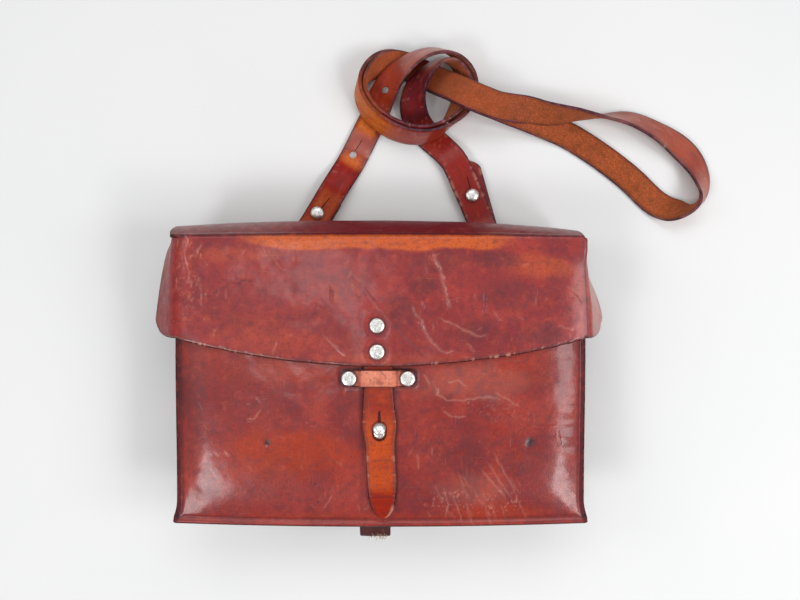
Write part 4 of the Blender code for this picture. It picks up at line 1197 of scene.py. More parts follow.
# the band darkens towards its ends
def band_dirt(x):
    return 0.22 * smooth01((np.abs(x - 8) - 34) / 40)


# painted shade: the band's middle is painted deeper, where it reflects nothing bright
def band_middle_painted_shade(x):
    return 0.25 + 0.75 * smooth01((70 - np.abs(x - 8)) / 40)


def band_dull(x):
    return 0.25 + 0.75 * smooth01((90 - np.abs(x - 8)) / 45)


# ------------------------------------------------------------------ back


def build_back():
    """Back panel, the bend over the hinge edge, and the top band up to the split."""
    panel_rows, bend_rows = 150, 12
    x, y = panel_points(300, panel_rows, top_y=BEND_Y, first_y=0.0)
    panel = xyz(x, y, BACK_Z + back_lift(y))
    across = np.linspace(-1, 1, 301)
    half_top = half_width(BEND_Y) - RIM
    bend_z = BACK_Z + BACK_LIFT
    end_t = (BEND_END_Z - HINGE[1]) / (FOLD[1] - HINGE[1])
    rows = []
    for k in range(1, bend_rows + 1):
        a = math.pi / 2 * k / bend_rows
        x = across * (half_top + (BAND_HALF - half_top) * k / bend_rows)
        y = BEND_Y + (band_y(x, end_t) - BEND_Y) * math.sin(a)
        rows.append(xyz(x, y, bend_z + (BEND_END_Z - bend_z) * (1 - math.cos(a))))
    for z in np.linspace(BEND_END_Z, SPLIT_Z, 46)[1:]:
        rows.append(band_row(across * BAND_HALF, z))
    grid = np.concatenate([panel, np.array(rows)])

    x, y = grid[..., 0].copy(), grid[..., 1].copy()
    row = np.arange(len(grid))[:, None]
    on_back = row <= panel_rows
    from_rim = np.minimum(half_width(y) - np.abs(x), y - bottom_edge(x))
    uneven = 0.28 * fbm(x, y, size=40, seed=91) * smooth01((from_rim - 10) / 20)
    grid[..., 2] += 0.25 * np.abs(uneven * smooth01((80 - y) / 20) * on_back)

    skin = Skin(x, y, uneven)
    wear = skin.blots((0, 0, 90, 60, 0.35, 20), (-40, -60, 50, 20, 0.4, 21))
    along_bend = 0.5 + 0.5 * noise_along(x, size=20, seed=5)
    wear += 0.9 * bell(row - panel_rows - 5, 4.0) * along_bend
    dirt = 0.6 * smooth01((6 - from_rim) / 3) * on_back
    dirt += skin.blots((20, 30, 50, 30, 0.25, 22))
    on_band = grid[..., 2] > 19.0
    skin.wear = np.where(on_band, 0.0, wear)
    skin.dirt = np.where(on_band, band_dirt(x), dirt)
    skin.deepen = np.where(on_band, band_middle_painted_shade(x), 0.0)
    skin.dull = np.where(on_band, band_dull(x), 0.0)
    lines = noise(x * 0.3, y * 3, size=2.2, seed=99) > 0.72
    skin.mark = 0.35 * lines * (fbm(x, y, size=25, seed=98) > 0.15) * on_back

    flat_edges = np.zeros(grid.shape[:2], bool)
    flat_edges[-1, :] = True
    back = sheet(
        "back_and_flap_leather", grid, (0, 0, -1), BODY_T, skin.attrs(), flat_edges=flat_edges
    )
    dress(back, BACK, None, ("back_panel",))
    return back


# ------------------------------------------------------------------ flap

# width, height (below 0 it is a hollow), mark (a painted highlight on the lip),
# dirt (painted shade in a hollow), points
FLAP_CREASES = [
    (0.665, 0.798, 0.50, 0, [(34.5, 84.0), (35.7, 79.2), (39.9, 68.2), (42.8, 55.2),
                             (44.8, 43.6)]),
    (0.595, 0.76, 0.50, 0, [(20.8, 50.2), (21.8, 44.2), (26.0, 39.7), (29.9, 28.7),
                            (35.7, 21.5), (42.8, 17.6), (46.7, 18.9), (52.6, 17.0)]),
    (0.56, 0.646, 0.50, 0, [(35.1, 41.6), (50.6, 34.5), (61.6, 28.7), (70.7, 29.0)]),
    (0.525, 0.57, 0.36, 0, [(72.7, 44.2), (77.9, 37.7)]),
    (0.56, -0.494, 0, 0.35, [(66.8, 58.5), (67.5, 50.7), (66.2, 42.3)]),
    (0.49, 0.456, 0.108, 0.35, [(-11.6, 61.1), (-4.5, 50.7), (1.3, 44.2), (13.0, 30.6),
                                (27.3, 16.7), (35.1, 11.8)]),
    (0.49, 0.304, 0.36, 0, [(-38.2, 30.6), (-28.5, 20.9), (-20.7, 13.4)]),
    (0.56, -0.38, 0, 0.35, [(-125.8, 52.6), (-110.2, 55.2), (-97.9, 62.4), (-81.0, 65.3)]),
    (0.63, 0.38, 0.36, 0, [(-127.7, 82.5), (-123.9, 70.2), (-123.2, 60.4)]),
    (0.56, 0.304, 0.36, 0, [(-73.3, 85.1), (-62.2, 70.2)]),
    (0.56, 0.494, 0.36, 0, [(26.6, 52.1), (28.6, 45.5)]),
    (0.42, 0.342, 0.36, 0, [(-70.0, 15.7), (-67.4, 26.1)]),
    (0.49, 0.418, 0.36, 0, [(55.0, 24.0), (61.0, 17.5)]),
    (0.42, -0.266, 0, 0.35, [(-96.0, 66.0), (-80.0, 63.0)]),
    (0.56, -0.228, 0, 0.35, [(-32.0, 62.0), (-31.0, 48.0)]),
    (0.56, 0.266, 0.36, 0, [(118.0, 62.0), (126.0, 56.0), (131.0, 50.0)]),
    (0.56, 0.228, 0.36, 0, [(112.0, 36.0), (124.0, 33.0)]),
]
# centre x, y, radius x, y, strength, seed
FLAP_DIRT = [
    (29, 62, 17, 10, 0.30, 31), (75, 78, 18, 6, 0.36, 32), (40, 76, 22, 8, 0.28, 33),
    (14, 44, 12, 14, 0.30, 34), (-45, 40, 18, 12, 0.22, 35), (86, 55, 22, 12, 0.22, 36),
    (60, 32, 18, 9, 0.28, 37), (104, 30, 16, 8, 0.30, 38), (-20, 62, 20, 10, 0.14, 39),
    (-60, 56, 26, 12, 0.12, 40),
]
FLAP_WEAR = [
    (104, 74, 24, 9, 0.42, 45), (-95, 82, 30, 6, 0.25, 46), (-85, 34, 30, 12, 0.14, 47),
    (-60, 24, 50, 9, 0.12, 48), (10, 14, 60, 4, 0.25, 49),
]
FLAP_DEEPEN = [
    (30, 30, 60, 24, 0.35, 80), (-90, 50, 36, 26, 0.30, 81), (75, 60, 30, 14, 0.35, 82),
]
BAND_STEPS, FOLD_STEPS, FACE_STEPS = 10, 8, 98
FACE_ROW = BAND_STEPS + FOLD_STEPS  # the first row of the flap's front


def flap_low(x):
    return FLAP_LOW_Y + (FLAP_SIDE_Y - FLAP_LOW_Y) * (x / FLAP_X) ** 2


def flap_columns():
    """Places across the flat leather from the left ear's edge to the right one's."""
    columns = [0.0]
    while columns[-1] < EAR_EDGE:
        step = 0.95 if columns[-1] < 118 or columns[-1] > 150 else 0.62
        columns.append(min(EAR_EDGE, columns[-1] + step))
    columns = np.array(columns)
    # one column runs exactly at the band's side edge
    columns[int(np.argmin(np.abs(columns - BAND_HALF)))] = BAND_HALF
    return np.concatenate([-columns[:0:-1], columns])


def ear_angle(side, y):
    """How far the ears splay out from upright."""
    right = 6 + 18 * smooth01((88.0 - y) / 50.0)
    left = 16 + 16 * np.clip((90.0 - y) / 52.0, 0, 1) ** 0.62
    return np.radians(np.where(side < 0, left, right))


def side_crease(side, flat_x, angle):
    """Across the flap's side crease: x beyond it and z from the front's face."""
    beyond = np.abs(flat_x) - FLAP_X
    radius = np.where(side < 0, 17.0, 2.6)
    turn = math.pi / 2 - angle
    reach = radius * np.tan(turn / 2)
    theta = turn * np.clip((beyond + reach) / (2 * reach), 0, 1)
    arc_x, arc_z = -reach + radius * np.sin(theta), -radius + radius * np.cos(theta)
    on_face, on_ear = beyond < -reach, beyond > reach
    dx = np.where(on_face, beyond, np.where(on_ear, beyond * np.sin(angle), arc_x))
    dz = np.where(on_face, 0.0, np.where(on_ear, -beyond * np.cos(angle), arc_z))
    return dx, dz


def flap_grid(flat_x):
    """Rows from the split over the fold and down the front, and the lower edge's y."""
    side = np.where(flat_x < 0, -1.0, 1.0)
    away = np.abs(flat_x)
    low_mid = flap_low(np.minimum(away, FLAP_X))
    on_ear = np.clip((away - FLAP_X) / EAR_DEPTH, 0, 1)
    top_y = FOLD[0] - 0.9 + np.where(side < 0, 2.4, -0.4) * smooth01((away - 129.0) / 5.7)
    top_y = top_y - np.where(side < 0, 6.2, 5.0) * on_ear
    low_ear = FLAP_SIDE_Y + RIM + 3.0 * on_ear**2 + 11.0 * on_ear**6
    low_y = np.where(away <= FLAP_X, low_mid + RIM, low_ear)

    face = []
    for q in np.linspace(0, 1, FACE_STEPS + 1):
        y = top_y + (low_y - top_y) * q
        dx, dz = side_crease(side, flat_x, ear_angle(side, y))
        sag = 3.6 * smooth01((away - 13.0) / 30.0) * ((top_y - y) / (FOLD[0] - low_mid)) ** 2
        sag = sag * (1 - 0.5 * on_ear)
        spread = 2.4 * smooth01((88.0 - y) / 64.0) * smooth01(away / 120.0)
        x = side * (FLAP_X + dx) + (flat_x > 0) * spread
        face.append(xyz(x, y, FOLD[1] - sag + dz))

    band_x = np.clip(flat_x, -BAND_HALF, BAND_HALF)
    rows = [band_row(band_x, z) for z in np.linspace(SPLIT_Z, FOLD[1] - 4.2, BAND_STEPS + 1)]
    last, first = rows[-1], face[0]
    for k in range(1, FOLD_STEPS):
        a = math.pi / 2 * k / FOLD_STEPS
        part = np.array([k / FOLD_STEPS, 1 - math.cos(a), math.sin(a)])
        rows.append(last + (first - last) * part)
    return np.array(rows + face), low_y


def flap_skin(grid, flat_x, low_y):
    """Relief along the surface's normal, and colouring, by the flat leather's places."""
    x, y = np.broadcast_to(flat_x, grid.shape[:2]).copy(), grid[..., 1].copy()
    y[:FACE_ROW] = FOLD[0] + (FOLD[1] - grid[:FACE_ROW, :, 2])
    relief = 0.42 * fbm(x, y, size=42, seed=13) * smooth01((90 - y) / 14)
    relief += 0.16 * fbm(x, y, size=10, seed=19)
    relief *= smooth01((EAR_EDGE - np.abs(x)) / 10 + 0.3)
    skin = Skin(x, y, relief)
    skin.creases(FLAP_CREASES, first_seed=60)
    # upright scratches at the left end, then scattered ones
    draw = np.random.default_rng(5)
    for k in range(54):
        if k < 24:
            sx, sy = draw.uniform(-134, -112), draw.uniform(38, 88)
            angle, length, mark = draw.normal(1.5, 0.25), draw.uniform(2, 9), 0.45
        else:
            sx, sy = draw.uniform(-110, 125), draw.uniform(14, 86)
            angle, length, mark = draw.uniform(0, 3.1), draw.uniform(2, 8), 0.28
        skin.scratch(ray(sx, sy, angle, length), depth=0.08, mark=mark, seed=k)
    # scuffed grain at the left end
    scuff = skin.blots((-124, 62, 12, 30, 1, 30))
    skin.relief += 0.06 * scuff * noise(x, y, size=1.7, seed=41)
    skin.mark += 0.20 * scuff * (noise(x, y, size=1.3, seed=44) > 0.5)
    # smudges, with darker crumbs in them
    skin.dirt += skin.blots(*FLAP_DIRT)
    crumbs = (skin.dirt > 0.12) * 0.25 * (fbm(x, y, size=5, seed=66) > 0.12)
    skin.dirt += crumbs * np.clip(skin.dirt, 0, 0.5)

    # the worn, paler stripe below the fold, widest near the middle
    stripe_low = 83.6 + 1.6 * noise_along(x, size=24, seed=3)
    stripe_low = stripe_low - 0.5 * noise_along(x, size=7, seed=4)
    stripe_low = stripe_low + 4.5 * smooth01((np.abs(x - 5) - 55) / 40)
    stripe = smooth01((y - stripe_low) / 3.0) * smooth01((103 - y) / 8) * (y < 93.6)
    skin.wear += 1.15 * stripe * smooth01((96 - np.abs(x + 2)) / 28)
    skin.wear += skin.blots(*FLAP_WEAR) + 0.15 * smooth01((x - 138) / 6)

    # the band darkens towards its ends, the fold is a dark line, rims and the right crease
    # are dark, and the left ear's outer edge is painted shade where the ear turns down
    skin.dirt += (y > 93.0) * band_dirt(x)
    skin.dirt += 0.60 * bell(y - 93.6, 0.8) * smooth01((134 - np.abs(x)) / 8)
    from_edge = np.minimum(y - low_y, EAR_EDGE - np.abs(x))
    skin.dirt += 0.55 * smooth01((2.2 - from_edge) / 2.2) * (y < 92)
    # painted shade along the left ear's outer edge
    skin.dirt += 0.30 * smooth01((-x - 164) / 8)
    skin.dirt += 0.35 * smooth01((x - 130) / 2) * smooth01((136.5 - x) / 2)
    # the roll into the left ear is painted deeper as shade, where the flap turns down; the blots are deeper
    # patches
    deepen = 0.40 * smooth01((-x - 132) / 16) + skin.blots(*FLAP_DEEPEN)
    skin.deepen = np.where(y > 93.4, band_middle_painted_shade(x), deepen)
    skin.dull = np.where(y > 92.6, band_dull(x), 0.75 * smooth01((-x - 128) / 14))
    # painted reflection: the right ear is painted pale where it reflects the light on its right
    pale = 0.85 + 0.25 * fbm(x, y, size=14, seed=68, octaves=2)
    skin.mark += 0.34 * smooth01((x - 139) / 8) * pale

    # nicks along the lower edge
    nick = noise_along(x, size=1.5, seed=15) + 0.5 * noise_along(x, size=9, seed=115)
    nick = smooth01((nick - 0.35) / 0.35) * smooth01((1.0 - from_edge) / 0.5) * (y < 92)
    often = smooth01((26 - np.abs(x + 98)) / 10) + smooth01((42 - np.abs(x - 68)) / 12)
    skin.mark += 0.60 * nick * (0.25 + often)
    # painted highlight along the left part of the lower edge, where its bevel catches the light
    skin.mark += 0.30 * smooth01((0.7 - from_edge) / 0.5) * (y < 92) * smooth01((-50 - x) / 14)
    notch = (noise_along(x, size=3.4, seed=16) > 0.6) * (y < 92)
    skin.relief -= 0.25 * notch * smooth01((1.5 - from_edge) / 1.5)

    # pressed up by the closure strap underneath
    skin.relief += 0.30 * smooth01((14.5 - np.abs(x + 1.1)) / 7.0) * smooth01((54 - y) / 10)
    # it turns down towards its right side before the sharp crease
    turn = np.clip((x - 116.0) / 18.7, 0, 1) ** 2 * (x <= FLAP_X)
    turn = turn + (x > FLAP_X) * smooth01((FLAP_X + 8 - x) / 8)
    skin.relief -= 2.3 * turn * smooth01((86 - y) / 16)
    # sunk round the rivets
    for rivet_x, rivet_y in FLAP_RIVETS.values():
        away = np.hypot(x - rivet_x, y - rivet_y)
        skin.relief -= 0.45 * bell(away - 5.4, 2.2) + 0.35 * (away < 5.0)
        skin.dirt += 0.55 * bell(away - 5.8, 0.9)
    # no relief at the split, where the back's leather meets it
    easing = FACE_ROW // 2
    skin.relief[:easing] *= np.linspace(0, 1, easing)[:, None]
    return skin


def build_flap():
    """Top band from the split, the fold, the front and an ear on each side."""
    flat_x = flap_columns()
    grid, low_y = flap_grid(flat_x)
    # beyond the band's side edges there is only the front
    cell_x = (np.abs(flat_x[:-1]) + np.abs(flat_x[1:])) / 2
    keep = np.ones((len(grid) - 1, len(flat_x) - 1), bool)
    keep[:FACE_ROW, cell_x > BAND_HALF] = False
    quads = grid_quads(*grid.shape[:2])[keep.ravel()]
    # the rows run down the flap, so these normals point in
    outward = -vertex_normals(grid.reshape(-1, 3), quads).reshape(grid.shape)
    skin = flap_skin(grid, flat_x, low_y)
    shaped = grid + outward * skin.relief[..., None]
    shaped[0] = grid[0]
    flat_edges = np.zeros(grid.shape[:2], bool)
    flat_edges[0, :] = True
    attrs = skin.attrs(most_wear=1.3)
    flap = sheet("flap_leather", shaped, (0, 0, 1), BODY_T, attrs, keep, flat_edges)
    dress(flap, FLAP, None, ("flap_front", "flap_top"))
    return flap


def finish_back_and_flap(back, flap):
    """The back's piece takes the flap's leather on the band, and both bend with the flap."""
    for ob in (back, flap):
        sharpen(ob, 60)
    back.data.materials.append(FLAP)
    centres = np.empty(len(back.data.polygons) * 3)
    back.data.polygons.foreach_get("center", centres)
    on_band = centres.reshape(-1, 3)[:, 2] / MM + BASE_Z > 20.0
    back.data.polygons.foreach_set("material_index", on_band.astype(np.int32))
    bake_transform(back, "bag_body", "flap_top", start=(0, 0.0945, 0.0), end=(0, 0.0995, 0.005))
    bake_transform(flap, "flap_top", "flap_front", start=(0, 0.0940, 0.06), end=(0, 0.0895, 0.06))


# ------------------------------------------------------------------ closure strap

# y, width, centre x
CLOSURE_SHAPE = np.array([
    (-90.6, 2.4, 1.7), (-90.2, 5.8, 1.7), (-89.0, 9.2, 1.7), (-85.8, 13.8, 1.6),
    (-80.3, 17.6, 1.4), (-74.8, 18.7, 1.25), (-69, 19.5, 1.1), (-63.9, 19.8, 0.9),
    (-55, 19.8, 0.5), (-47.5, 19.7, 0.1), (-39.8, 20.3, -0.15), (-31.1, 23.3, -0.4),
    (-26, 23.0, -0.6), (-20.2, 21.9, -0.9), (-12, 20.5, -1.2), (-5.4, 20.0, -1.2),
    (48, 20.0, -1.1),
])
CLOSURE_T, CLOSURE_Z = 2.6, 67.2


def closure_colouring(along):
    across, y = np.meshgrid(RIBBON[:, 0], along)
    off = np.abs(across)
    wear = smooth01((-18 - y) / 16.0) * smooth01((y + 76) / 8)
    wear = wear * (0.75 + 0.25 * noise(across * 10, y, size=9, seed=2))
    deepen = 0.40 * smooth01((20 + y) / 10.0) + 0.95 * smooth01((-70 - y) / 9.0)
    deepen = deepen + 0.30 * smooth01((off - 0.62) / 0.35)
    # dark lines across the lower part, and two stronger ones
    wander = y + 1.2 * noise(across * 10, y, size=9, seed=6)
    lines = smooth01((0.13 - np.abs(noise_along(wander, size=2.6, seed=14))) / 0.10)
    lines = lines * (y < -44) * (y > -84)
    lines = lines * smooth01((noise(across * 9, y, size=8, seed=24) + 0.3) / 0.3)
    dirt = 0.12 * smooth01((18 + y) / 12.0) + 0.34 * lines
    inner = smooth01((0.9 - np.abs(across - 0.1)) / 0.3)
    for line_y, strength in ((-53.0, 0.42), (-76.5, 0.50)):
        dirt = dirt + strength * bell(wander - line_y, 0.75) * inner
    dirt = dirt + 0.55 * smooth01((off - 0.80) / 0.18)
    # rubbed edges
    tip = smooth01((-80 - y) / 5) * (across > 0.1)
    mark = 0.75 * smooth01((off - 0.86) / 0.1)
    mark = mark * (tip + 0.5 * (noise_along(y, size=2.3, seed=4) > 0.72))
    return {
        "wear": np.clip(wear, 0, 1),
        "dirt": np.clip(dirt, 0, 1),
        "mark": mark,
        "deepen": np.clip(deepen, 0, 1),
        "dull": 0.25 + 0.55 * smooth01((-68 - along) / 9.0),
    }


def build_closure_strap():
    """From under the flap through the keeper and over the stud to its rounded end."""
    tip = -72.0 - 18.5 * np.sin(np.linspace(0, 1, 44)[1:] * math.pi / 2)
    y = np.concatenate([np.linspace(47.5, -72.0, 190), tip])
    # the measured shape is smoothed, but the width of the tip is not
    fine_y = np.linspace(-91, 49, 561)
    kernel = np.exp(-((np.arange(-16, 17) * 0.25 / 1.6) ** 2) / 2)
    kernel /= kernel.sum()

    def smoothed(column):
        values = np.interp(fine_y, CLOSURE_SHAPE[:, 0], CLOSURE_SHAPE[:, column])
        values = np.convolve(np.pad(values, 16, mode="edge"), kernel, mode="valid")
        return np.interp(y, fine_y, values)

    measured = np.interp(y, CLOSURE_SHAPE[:, 0], CLOSURE_SHAPE[:, 1])
    width = np.where(y < -84, measured, smoothed(1))
    z = CLOSURE_Z + 1.4 * smooth01((y - 6.5) / 6.0)
    z = np.where(y < 0, CLOSURE_Z - 1.2 * smooth01((-60 - y) / 29.0), z)
    z = z + 0.20 * np.sin(y / 9.0) * smooth01((-8 - y) / 8)
    z = z + 0.05 * noise_along(y, size=2.4, seed=14) * smooth01((-40 - y) / 8)
    across = np.tile([1.0, 0, 0], (len(y), 1))
    up = np.tile([0, 0, 1.0], (len(y), 1))
    strap = ribbon(
        "closure_strap_leather", xyz(smoothed(2), y, z), across, up, width, CLOSURE_T,
        closure_colouring(y),
    )
    hole = keyhole(-0.5, -31.9, 4.9, math.pi / 2, 6.4, segs=36, slit=2.6, stretch=3.6)
    cut_away(strap, hole, 60, 75)
    sharpen(strap, 50)
    dress(strap, TONGUE, None, ("closure_strap", "closure_tongue"))
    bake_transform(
        strap, "flap_front", "closure_tongue", start=(0, -0.0005, 0.0576),
        end=(0, -0.0105, 0.0576),
    )


# ------------------------------------------------------------------ keeper


def build_keeper():
    """A band over the closure strap: raised in the middle, riveted down at both ends."""
    corner = 4.0
    off = np.linspace(-1, 1, 161) * (KEEPER_LENGTH / 2 - KEEPER_T / 2)
    half = np.full(len(off), KEEPER_HEIGHT / 2 - KEEPER_T / 2)
    from_end = KEEPER_LENGTH / 2 - KEEPER_T / 2 - np.abs(off)
    arc = np.sqrt(np.clip(corner**2 - (corner - from_end) ** 2, 0, None))
    half = np.where(from_end < corner, half - corner + arc, half)
    rise = 3.15 * (1 - smooth01((np.abs(off) - 10.9) / 2.9))
    up = np.linspace(-1, 1, 27)[:, None]
    z = FRONT_FACE_Z + GAP + rise + KEEPER_T - 0.12 * up**2
    grid = xyz(KEEPER_X + off, KEEPER_Y + up * half, z)

    x, y = grid[..., 0], grid[..., 1]
    dx, dy = x - KEEPER_X, y - KEEPER_Y
    raised = np.exp(-((np.abs(dx) / 11.5) ** 6))
    grid[..., 2] += 0.07 * raised * noise(x, y / 6.0, size=1.7, seed=4)
    grid[..., 2] += 0.05 * noise(x, y, size=4, seed=5)
    wear = 0.95 * raised * (0.8 + 0.3 * noise(x, y, size=6, seed=8))
    dirt = 0.30 * smooth01((np.abs(dx) - 12.5) / 3.0)
    dirt += 0.45 * smooth01((np.abs(dx) - 22.5) / 1.6)
    dirt += 0.5 * smooth01((np.abs(dy) - 4.3) / 0.9) * smooth01((np.abs(dx) - 12.0) / 2.0)
    # dark lines along Y on the raised part
    wander = x + 0.15 * noise(x * 0, y, size=2, seed=17)
    lines = smooth01((0.30 - np.abs(noise_along(wander, size=1.1, seed=11))) / 0.22)
    broken = 0.6 + 0.4 * smooth01((noise(x, y / 3.0, size=2.2, seed=13) + 0.3) / 0.4)
    dirt += 0.20 * raised * lines * bell(dx + 1, 6.5) * broken
    for rivet_x in KEEPER_RIVETS.values():
        away = np.hypot(x - rivet_x, y - KEEPER_RIVET_Y)
        grid[..., 2] -= 0.25 * bell(away - 5.0, 1.6)
        dirt += 0.55 * bell(away - 5.2, 1.0)
    mark = 0.27 * smooth01(1.0 - np.abs(np.abs(dx) - 13.0) / 2.0)
    mark += 0.3 * raised * smooth01((-dy - 3.8) / 0.8)
    attrs = {"wear": wear, "dirt": dirt, "mark": mark}
    keeper = sheet("keeper_leather", grid, (0, 0, 1), KEEPER_T, attrs)
    dress(keeper, KEEPER, "bag_body", ("keeper_loop",))


# ------------------------------------------------------------------ bottom loop


def build_bottom_loop():
    """A loop standing out towards -Y, with both ends against the gusset."""
    seat_y = WEB_Y - GAP - LOOP_T / 2
    points = [(seat_y, z) for z in np.linspace(20, 29.4, 12)]
    for k in range(33):
        a = math.pi * k / 32
        y = seat_y - 2.0 * math.sin(a) ** 0.5 - 14.0 * math.sin(a)
        points.append((y, LOOP_Z - 5.2 * math.cos(a)))
    points += [(seat_y, z) for z in np.linspace(42.6, 52, 12)]
    points = np.array(points)
    tangent = unit(np.gradient(points, axis=0))
    centres = xyz(LOOP_X, points[:, 0], points[:, 1])
    across = np.tile([1.0, 0, 0], (len(points), 1))
    grain = xyz(0.0, -tangent[:, 1], tangent[:, 0])
    attrs = {
        "wear": 0.5 * smooth01((-points[:, 0] - 100) / 5),
        "dirt": np.full(len(points), 0.3),
    }
    loop = ribbon("bottom_loop_leather", centres, across, grain, LOOP_W, LOOP_T, attrs)
    dress(loop, LOOP_DARK_AND_SHADE, "bag_body", ("bottom_loop",))


def build_frayed_threads():
    """Loose threads at the loop's outermost part."""
    draw = np.random.default_rng(9)
    frays = []
    for _ in range(26):
        x = LOOP_X + draw.uniform(-5.5, 7.5)
        z = LOOP_Z + draw.uniform(-4, 6)
        y = -109.8 - 0.6 * draw.uniform(0, 1)
        point = np.array([x, y + 2.2, z])
        path = [point.copy()]
        heading = np.array([draw.normal(0, 0.6), -1.0, draw.normal(0.2, 0.5)])
        for _ in range(6):
            heading = heading + draw.normal(0, 0.35, 3)
            heading[1] = min(heading[1], -0.15)
            heading /= np.linalg.norm(heading)
            point = point + heading * 0.85
            point[1] = max(point[1], -112.8)
            path.append(point.copy())
        frays.append(path)
    frayed = threads("bottom_loop_frayed_threads", frays, radius=0.17, segs=5)
    dress(frayed, FRAY_THREAD_AND_HIGHLIGHT, "bag_body")


# ------------------------------------------------------------------ seams

STITCH_PITCH, STITCH_LENGTH = 4.2, 3.0


def stitch_row(points, up, lift):
    """Stitches along a row of points, sunk at both ends; up is 1 or -1."""
    points = np.array(points, float)
    s = lengths_along(points)
    stitches = []
    for middle in np.arange(STITCH_PITCH / 2, s[-1] - STITCH_PITCH / 2, STITCH_PITCH):
        path = []
        for f in np.linspace(-0.5, 0.5, 6):
            place = middle + f * STITCH_LENGTH
            x, y, z = (np.interp(place, s, points[:, k]) for k in range(3))
            sink = 0.5 * (abs(f) * 2) ** 3
            path.append((x, y, z + up * (lift - sink)))
        stitches.append(path)
    return stitches


def rim_line(inset):
    """The body's outline from the right mouth round to the left one, moved in by inset."""
    lowest = float(bottom_edge(CORNER_X)) + inset
    heights = [y for y in np.linspace(MOUTH_Y - 3, -96.4, 150) if y > lowest]
    right = [(float(half_width(y)) - inset, y) for y in heights]
    end = float(half_width(-95)) - inset - 1.2
    low = [(x, float(bottom_edge(x)) + inset) for x in np.linspace(end, -end, 200)]
    return right + low + [(-x, y) for x, y in reversed(right)]


def build_seams():
    """A row on the back's face, and one on the inner face of each of the gusset's flanges."""
    back = [(x, y, BACK_Z + float(back_lift(y))) for x, y in rim_line(4.6)]
    inner = [(x * 0.9985, y) for x, y in rim_line(3.2)]
    front_flange = [(x, y, FRONT_FLANGE_Z) for x, y in inner]
    flange_z = BACK_Z + BODY_T + GAP + GUSSET_T
    back_flange = [(x, y, flange_z + float(back_lift(y))) for x, y in inner]
    stitches = stitch_row(back, up=-1, lift=0.12)
    stitches += stitch_row(front_flange, up=-1, lift=0.1)
    stitches += stitch_row(back_flange, up=1, lift=0.1)
    seam = threads("seam_stitches", stitches, radius=0.34, segs=6)
    dress(seam, WAXED, "bag_body")


# ------------------------------------------------------------------ metal

UP, DOWN, BOTTOMWARD = (0, 0, 1), (0, 0, -1), (0, -1, 0)


def add_rivet(name, cad, centre, depth, axis, seed, body, r=4.9):
    """A shallow domed cap on a shank that reaches depth behind it."""
    profile = [
        (0, -depth), (1.35, -depth), (1.6, -depth + 0.25), (1.6, -0.05), (r - 0.5, -0.05),
        (r - 0.12, 0.0), (r, 0.18), (r - 0.05, 0.42), (r - 0.35, 0.66),
    ]
    for k in range(1, 9):
        q = 1 - k / 8
        height = 0.66 + 0.62 * (1 - q**4) - 0.20 * (1 - q * q) ** 2
        profile.append(((r - 0.35) * q, height))
    rivet = turned(name, profile, centre, axis, segs=40, dent=0.05, seed=seed)
    dress(rivet, NICKEL, body, (cad,))


def add_washer(name, cad, centre, axis, body):
    thick = 0.7
    profile = [
        (1.95, 0.0), (3.6, 0.0), (3.95, 0.12), (4.0, 0.35), (3.85, thick - 0.1),
        (3.5, thick), (2.2, thick), (1.95, thick - 0.1),
    ]
    washer = turned(name, profile, centre, axis, segs=32, dent=0.01, seed=len(name))
    dress(washer, NICKEL, body, (cad,))


def add_stud(name, cad, centre, axis, body, seed, neck, r=4.8):
    """A round head of radius r on a waisted neck, open for a screw below."""
    profile = [
        (0, neck - 0.2), (1.8, neck - 0.2), (1.8, 0), (2.3, 0), (2.55, 0.25), (2.3, 0.6),
        (2.15, neck - 1.2), (2.4, neck - 0.5), (r - 0.7, neck + 0.15), (r - 0.1, neck + 0.65),
        (r, neck + 1.1),
    ]
    for k in range(1, 10):
        a = math.pi / 2 * k / 9
        profile.append((r * math.cos(a) if k < 9 else 0, neck + 1.1 + 1.9 * math.sin(a)))
    stud = turned(name, profile, centre, axis, segs=44, dent=0.035, seed=seed)
    dress(stud, NICKEL, body, (cad,))


def add_screw(name, cad, centre, body, length):
    """An upright screw with its slotted head at the bottom."""
    profile = [(0, length), (1.3, length), (1.5, length - 0.3)]
    for k in range(int(length / 0.5)):
        z = length - 0.4 - 0.5 * k
        if z > 0.3:
            profile += [(1.5, z), (1.25, z - 0.25)]
    profile += [
        (1.5, 0.0), (3.7, 0.0), (4.0, -0.15), (4.0, -0.5), (3.6, -0.85), (2.6, -0.95),
        (0, -1.0),
    ]
    screw = turned(name, profile, centre, UP, segs=32, dent=0.01, seed=len(name))
    slot = [(-5, -0.45), (5, -0.45), (5, 0.45), (-5, 0.45)]
    slot_way = unit(np.array([1.0, 0.2, 0]))
    cut_away(screw, slot, -1.6, -0.55, (centre, slot_way, np.cross(UP, slot_way), UP))
    sharpen(screw, 40)
    dress(screw, NICKEL, body, (cad,))


def build_flap_and_keeper_rivets():
    cap_z = FRONT_FACE_Z + GAP + KEEPER_T + GAP
    for seed, (place, (x, y)) in enumerate(FLAP_RIVETS.items(), start=1):
        name = f"flap_rivet_{place}"
        add_rivet(name + "_cap", name, (x, y, 73.3), 7.0, UP, seed, "flap_front")
    for seed, (place, x) in enumerate(KEEPER_RIVETS.items(), start=3):
        name = f"keeper_rivet_{place}"
        centre = (x, KEEPER_RIVET_Y, cap_z)
        add_rivet(name + "_cap", name, centre, 6.8, UP, seed, "bag_body")
    for place, (x, y) in FLAP_RIVETS.items():
        name, cad = f"flap_washer_{place}", f"flap_burr_{place}"
        add_washer(name, cad, (x, y, 66.3), UP, "flap_front")
    for place, x in KEEPER_RIVETS.items():
        centre = (x, KEEPER_RIVET_Y, FRONT_FACE_Z - BODY_T - GAP - 0.7)
        name, cad = f"keeper_washer_{place}", f"keeper_burr_{place}"
        add_washer(name, cad, centre, UP, "bag_body")


